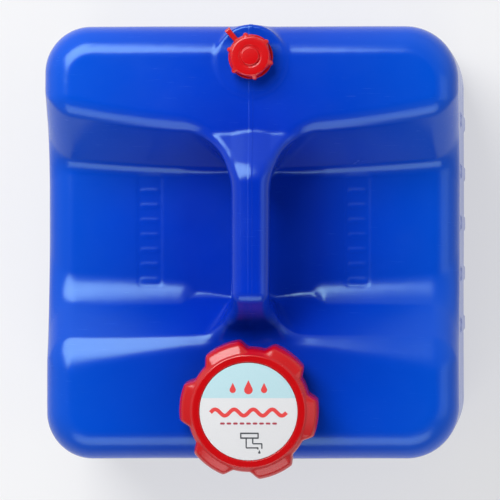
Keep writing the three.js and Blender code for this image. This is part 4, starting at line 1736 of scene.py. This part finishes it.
@dataclass
class Studio:
    """Pale floor, a large soft light behind the left, two weak fills, and the camera above."""

    floor_half: float = 4.0
    paper: StudioPaper = StudioPaper("studio_paper", (0.34, 0.34, 0.34), 0.51)
    camera_height: float = 5.0
    view_width: float = 0.3372
    aim: Point = (-0.0015, -0.0048, 0.345)
    camera_right: float = 0.192
    sensor: float = 36.0

    def floor(self) -> bpy.types.Object:
        """Lay the floor.

        Returns:
            The floor.
        """
        half = self.floor_half / MM
        corners = np.array([(-half, -half, 0), (half, -half, 0), (half, half, 0), (-half, half, 0)], float)
        floor = make_object("studio_floor", corners, [[0, 1, 2, 3]], self.paper.material())
        return floor

    def soft_light(
        self, name: str, place: Point, target: Point, size: Range, power: float
    ) -> None:
        """Hang a rectangular soft light.

        Args:
            name: The light's name.
            place: Where it hangs.
            target: What it faces.
            size: Width and height in metres.
            power: Power in watts.
        """
        data = bpy.data.lights.new(name, "AREA")
        data.shape = "RECTANGLE"
        data.size, data.size_y = size
        data.energy = power
        light = bpy.data.objects.new(name, data)
        light.location = place
        facing = Vector(target) - Vector(place)
        light.rotation_euler = facing.to_track_quat("-Z", "Y").to_euler()
        bpy.context.scene.collection.objects.link(light)

    def world(self) -> None:
        """Set the surroundings: pale near the horizon and dim overhead."""
        world = bpy.data.worlds.new("studio_world")
        bpy.context.scene.world = world
        world.use_nodes = True
        nodes, links = world.node_tree.nodes, world.node_tree.links
        nodes.clear()
        around = nodes.new("ShaderNodeTexCoord")
        around.label = "Direction"
        split = nodes.new("ShaderNodeSeparateXYZ")
        split.label = "How high"
        ramp = nodes.new("ShaderNodeValToRGB")
        ramp.label = "Pale walls, dim ceiling"
        depth = nodes.new("ShaderNodeMapRange")
        depth.label = "Dimmer towards the front"
        air = nodes.new("ShaderNodeBackground")
        air.label = "Room light"
        output = nodes.new("ShaderNodeOutputWorld")
        output.label = "World"
        for node, spot in (
            (around, (-800, 0)), (split, (-600, 0)), (ramp, (-380, 0)), (depth, (-380, -260)),
            (air, (-80, 0)), (output, (120, 0)),
        ):
            node.location = spot
        walls, ceiling = ramp.color_ramp.elements
        walls.position, ceiling.position = 0.20, 0.985
        walls.color, ceiling.color = (1.0, 1.0, 1.0, 1.0), (0.015, 0.015, 0.016, 1.0)
        slope = ramp.color_ramp.elements.new(0.88)
        slope.color = (0.42, 0.42, 0.43, 1.0)
        depth.inputs["From Min"].default_value = -0.9
        depth.inputs["From Max"].default_value = 0.3
        depth.inputs["To Min"].default_value = 0.34
        depth.inputs["To Max"].default_value = 0.80
        links.new(around.outputs["Generated"], split.inputs["Vector"])
        links.new(split.outputs["Z"], ramp.inputs["Fac"])
        links.new(split.outputs["Y"], depth.inputs["Value"])
        links.new(depth.outputs["Result"], air.inputs["Strength"])
        links.new(ramp.outputs["Color"], air.inputs["Color"])
        links.new(air.outputs["Background"], output.inputs["Surface"])

    def camera(self) -> None:
        """Hang the camera high above, a little to the right, and turn it towards the can."""
        data = bpy.data.cameras.new("camera")
        data.sensor_width = self.sensor
        data.lens = self.sensor * self.camera_height / self.view_width
        data.clip_end = 50.0
        camera = bpy.data.objects.new("camera", data)
        camera.location = (self.aim[0] + self.camera_right, self.aim[1], self.aim[2] + self.camera_height)
        camera.rotation_euler = (0.0, math.atan2(self.camera_right, self.camera_height), 0.0)
        bpy.context.scene.collection.objects.link(camera)
        bpy.context.scene.camera = camera

    def build(self) -> None:
        """Build the floor, the lights, the surroundings and the camera."""
        self.floor()
        self.soft_light("key_rear_left", (-0.47, 0.74, 1.33), (-0.02, 0.0, 0.35), (0.90, 0.84), 22.0)
        self.soft_light("fill_right", (1.6, -0.2, 1.5), (0.0, 0.0, 0.3), (1.2, 1.2), 4.0)
        self.soft_light("fill_front", (0.0, -1.4, 1.2), (0.0, 0.0, 0.33), (2.0, 0.8), 14.0)
        self.world()
        self.camera()
        bpy.context.scene.view_settings.view_transform = "Standard"


def main() -> None:
    """Build every piece in order and report it."""
    logging.basicConfig(level=logging.INFO, format="%(name)s: %(message)s")
    Studio().build()
    can = CanBody().build()
    pieces = [can]
    blue = can.data.materials[0]
    pieces.append(
        ThreadedNeck(
            "tap_neck", TAP_AXIS, core=31.3, bore=26.0, crest=32.4, low=347.0, top=379.2,
            thread_low=361.0, pitch=6.0, turns=2.0, ridge_half=1.5,
        ).build(blue)
    )
    pieces.append(
        ThreadedNeck(
            "vent_neck", VENT_AXIS, core=10.6, bore=6.5, crest=11.3, low=364.0, top=382.0,
            thread_low=375.2, pitch=3.0, turns=1.8, ridge_half=0.8,
        ).build(blue)
    )
    cap_pieces = TapCap().build()
    red = cap_pieces[0].data.materials[0]
    stored = StoredTap().build()
    foam = stored[0].data.materials[0]
    pieces += cap_pieces + stored
    pieces += VentCap().build(red, foam)
    pieces += Tether().build(red)
    for piece in pieces:
        LOG.info("%s: %d faces", piece.name, len(piece.data.polygons))


if __name__ == "__main__":
    main()
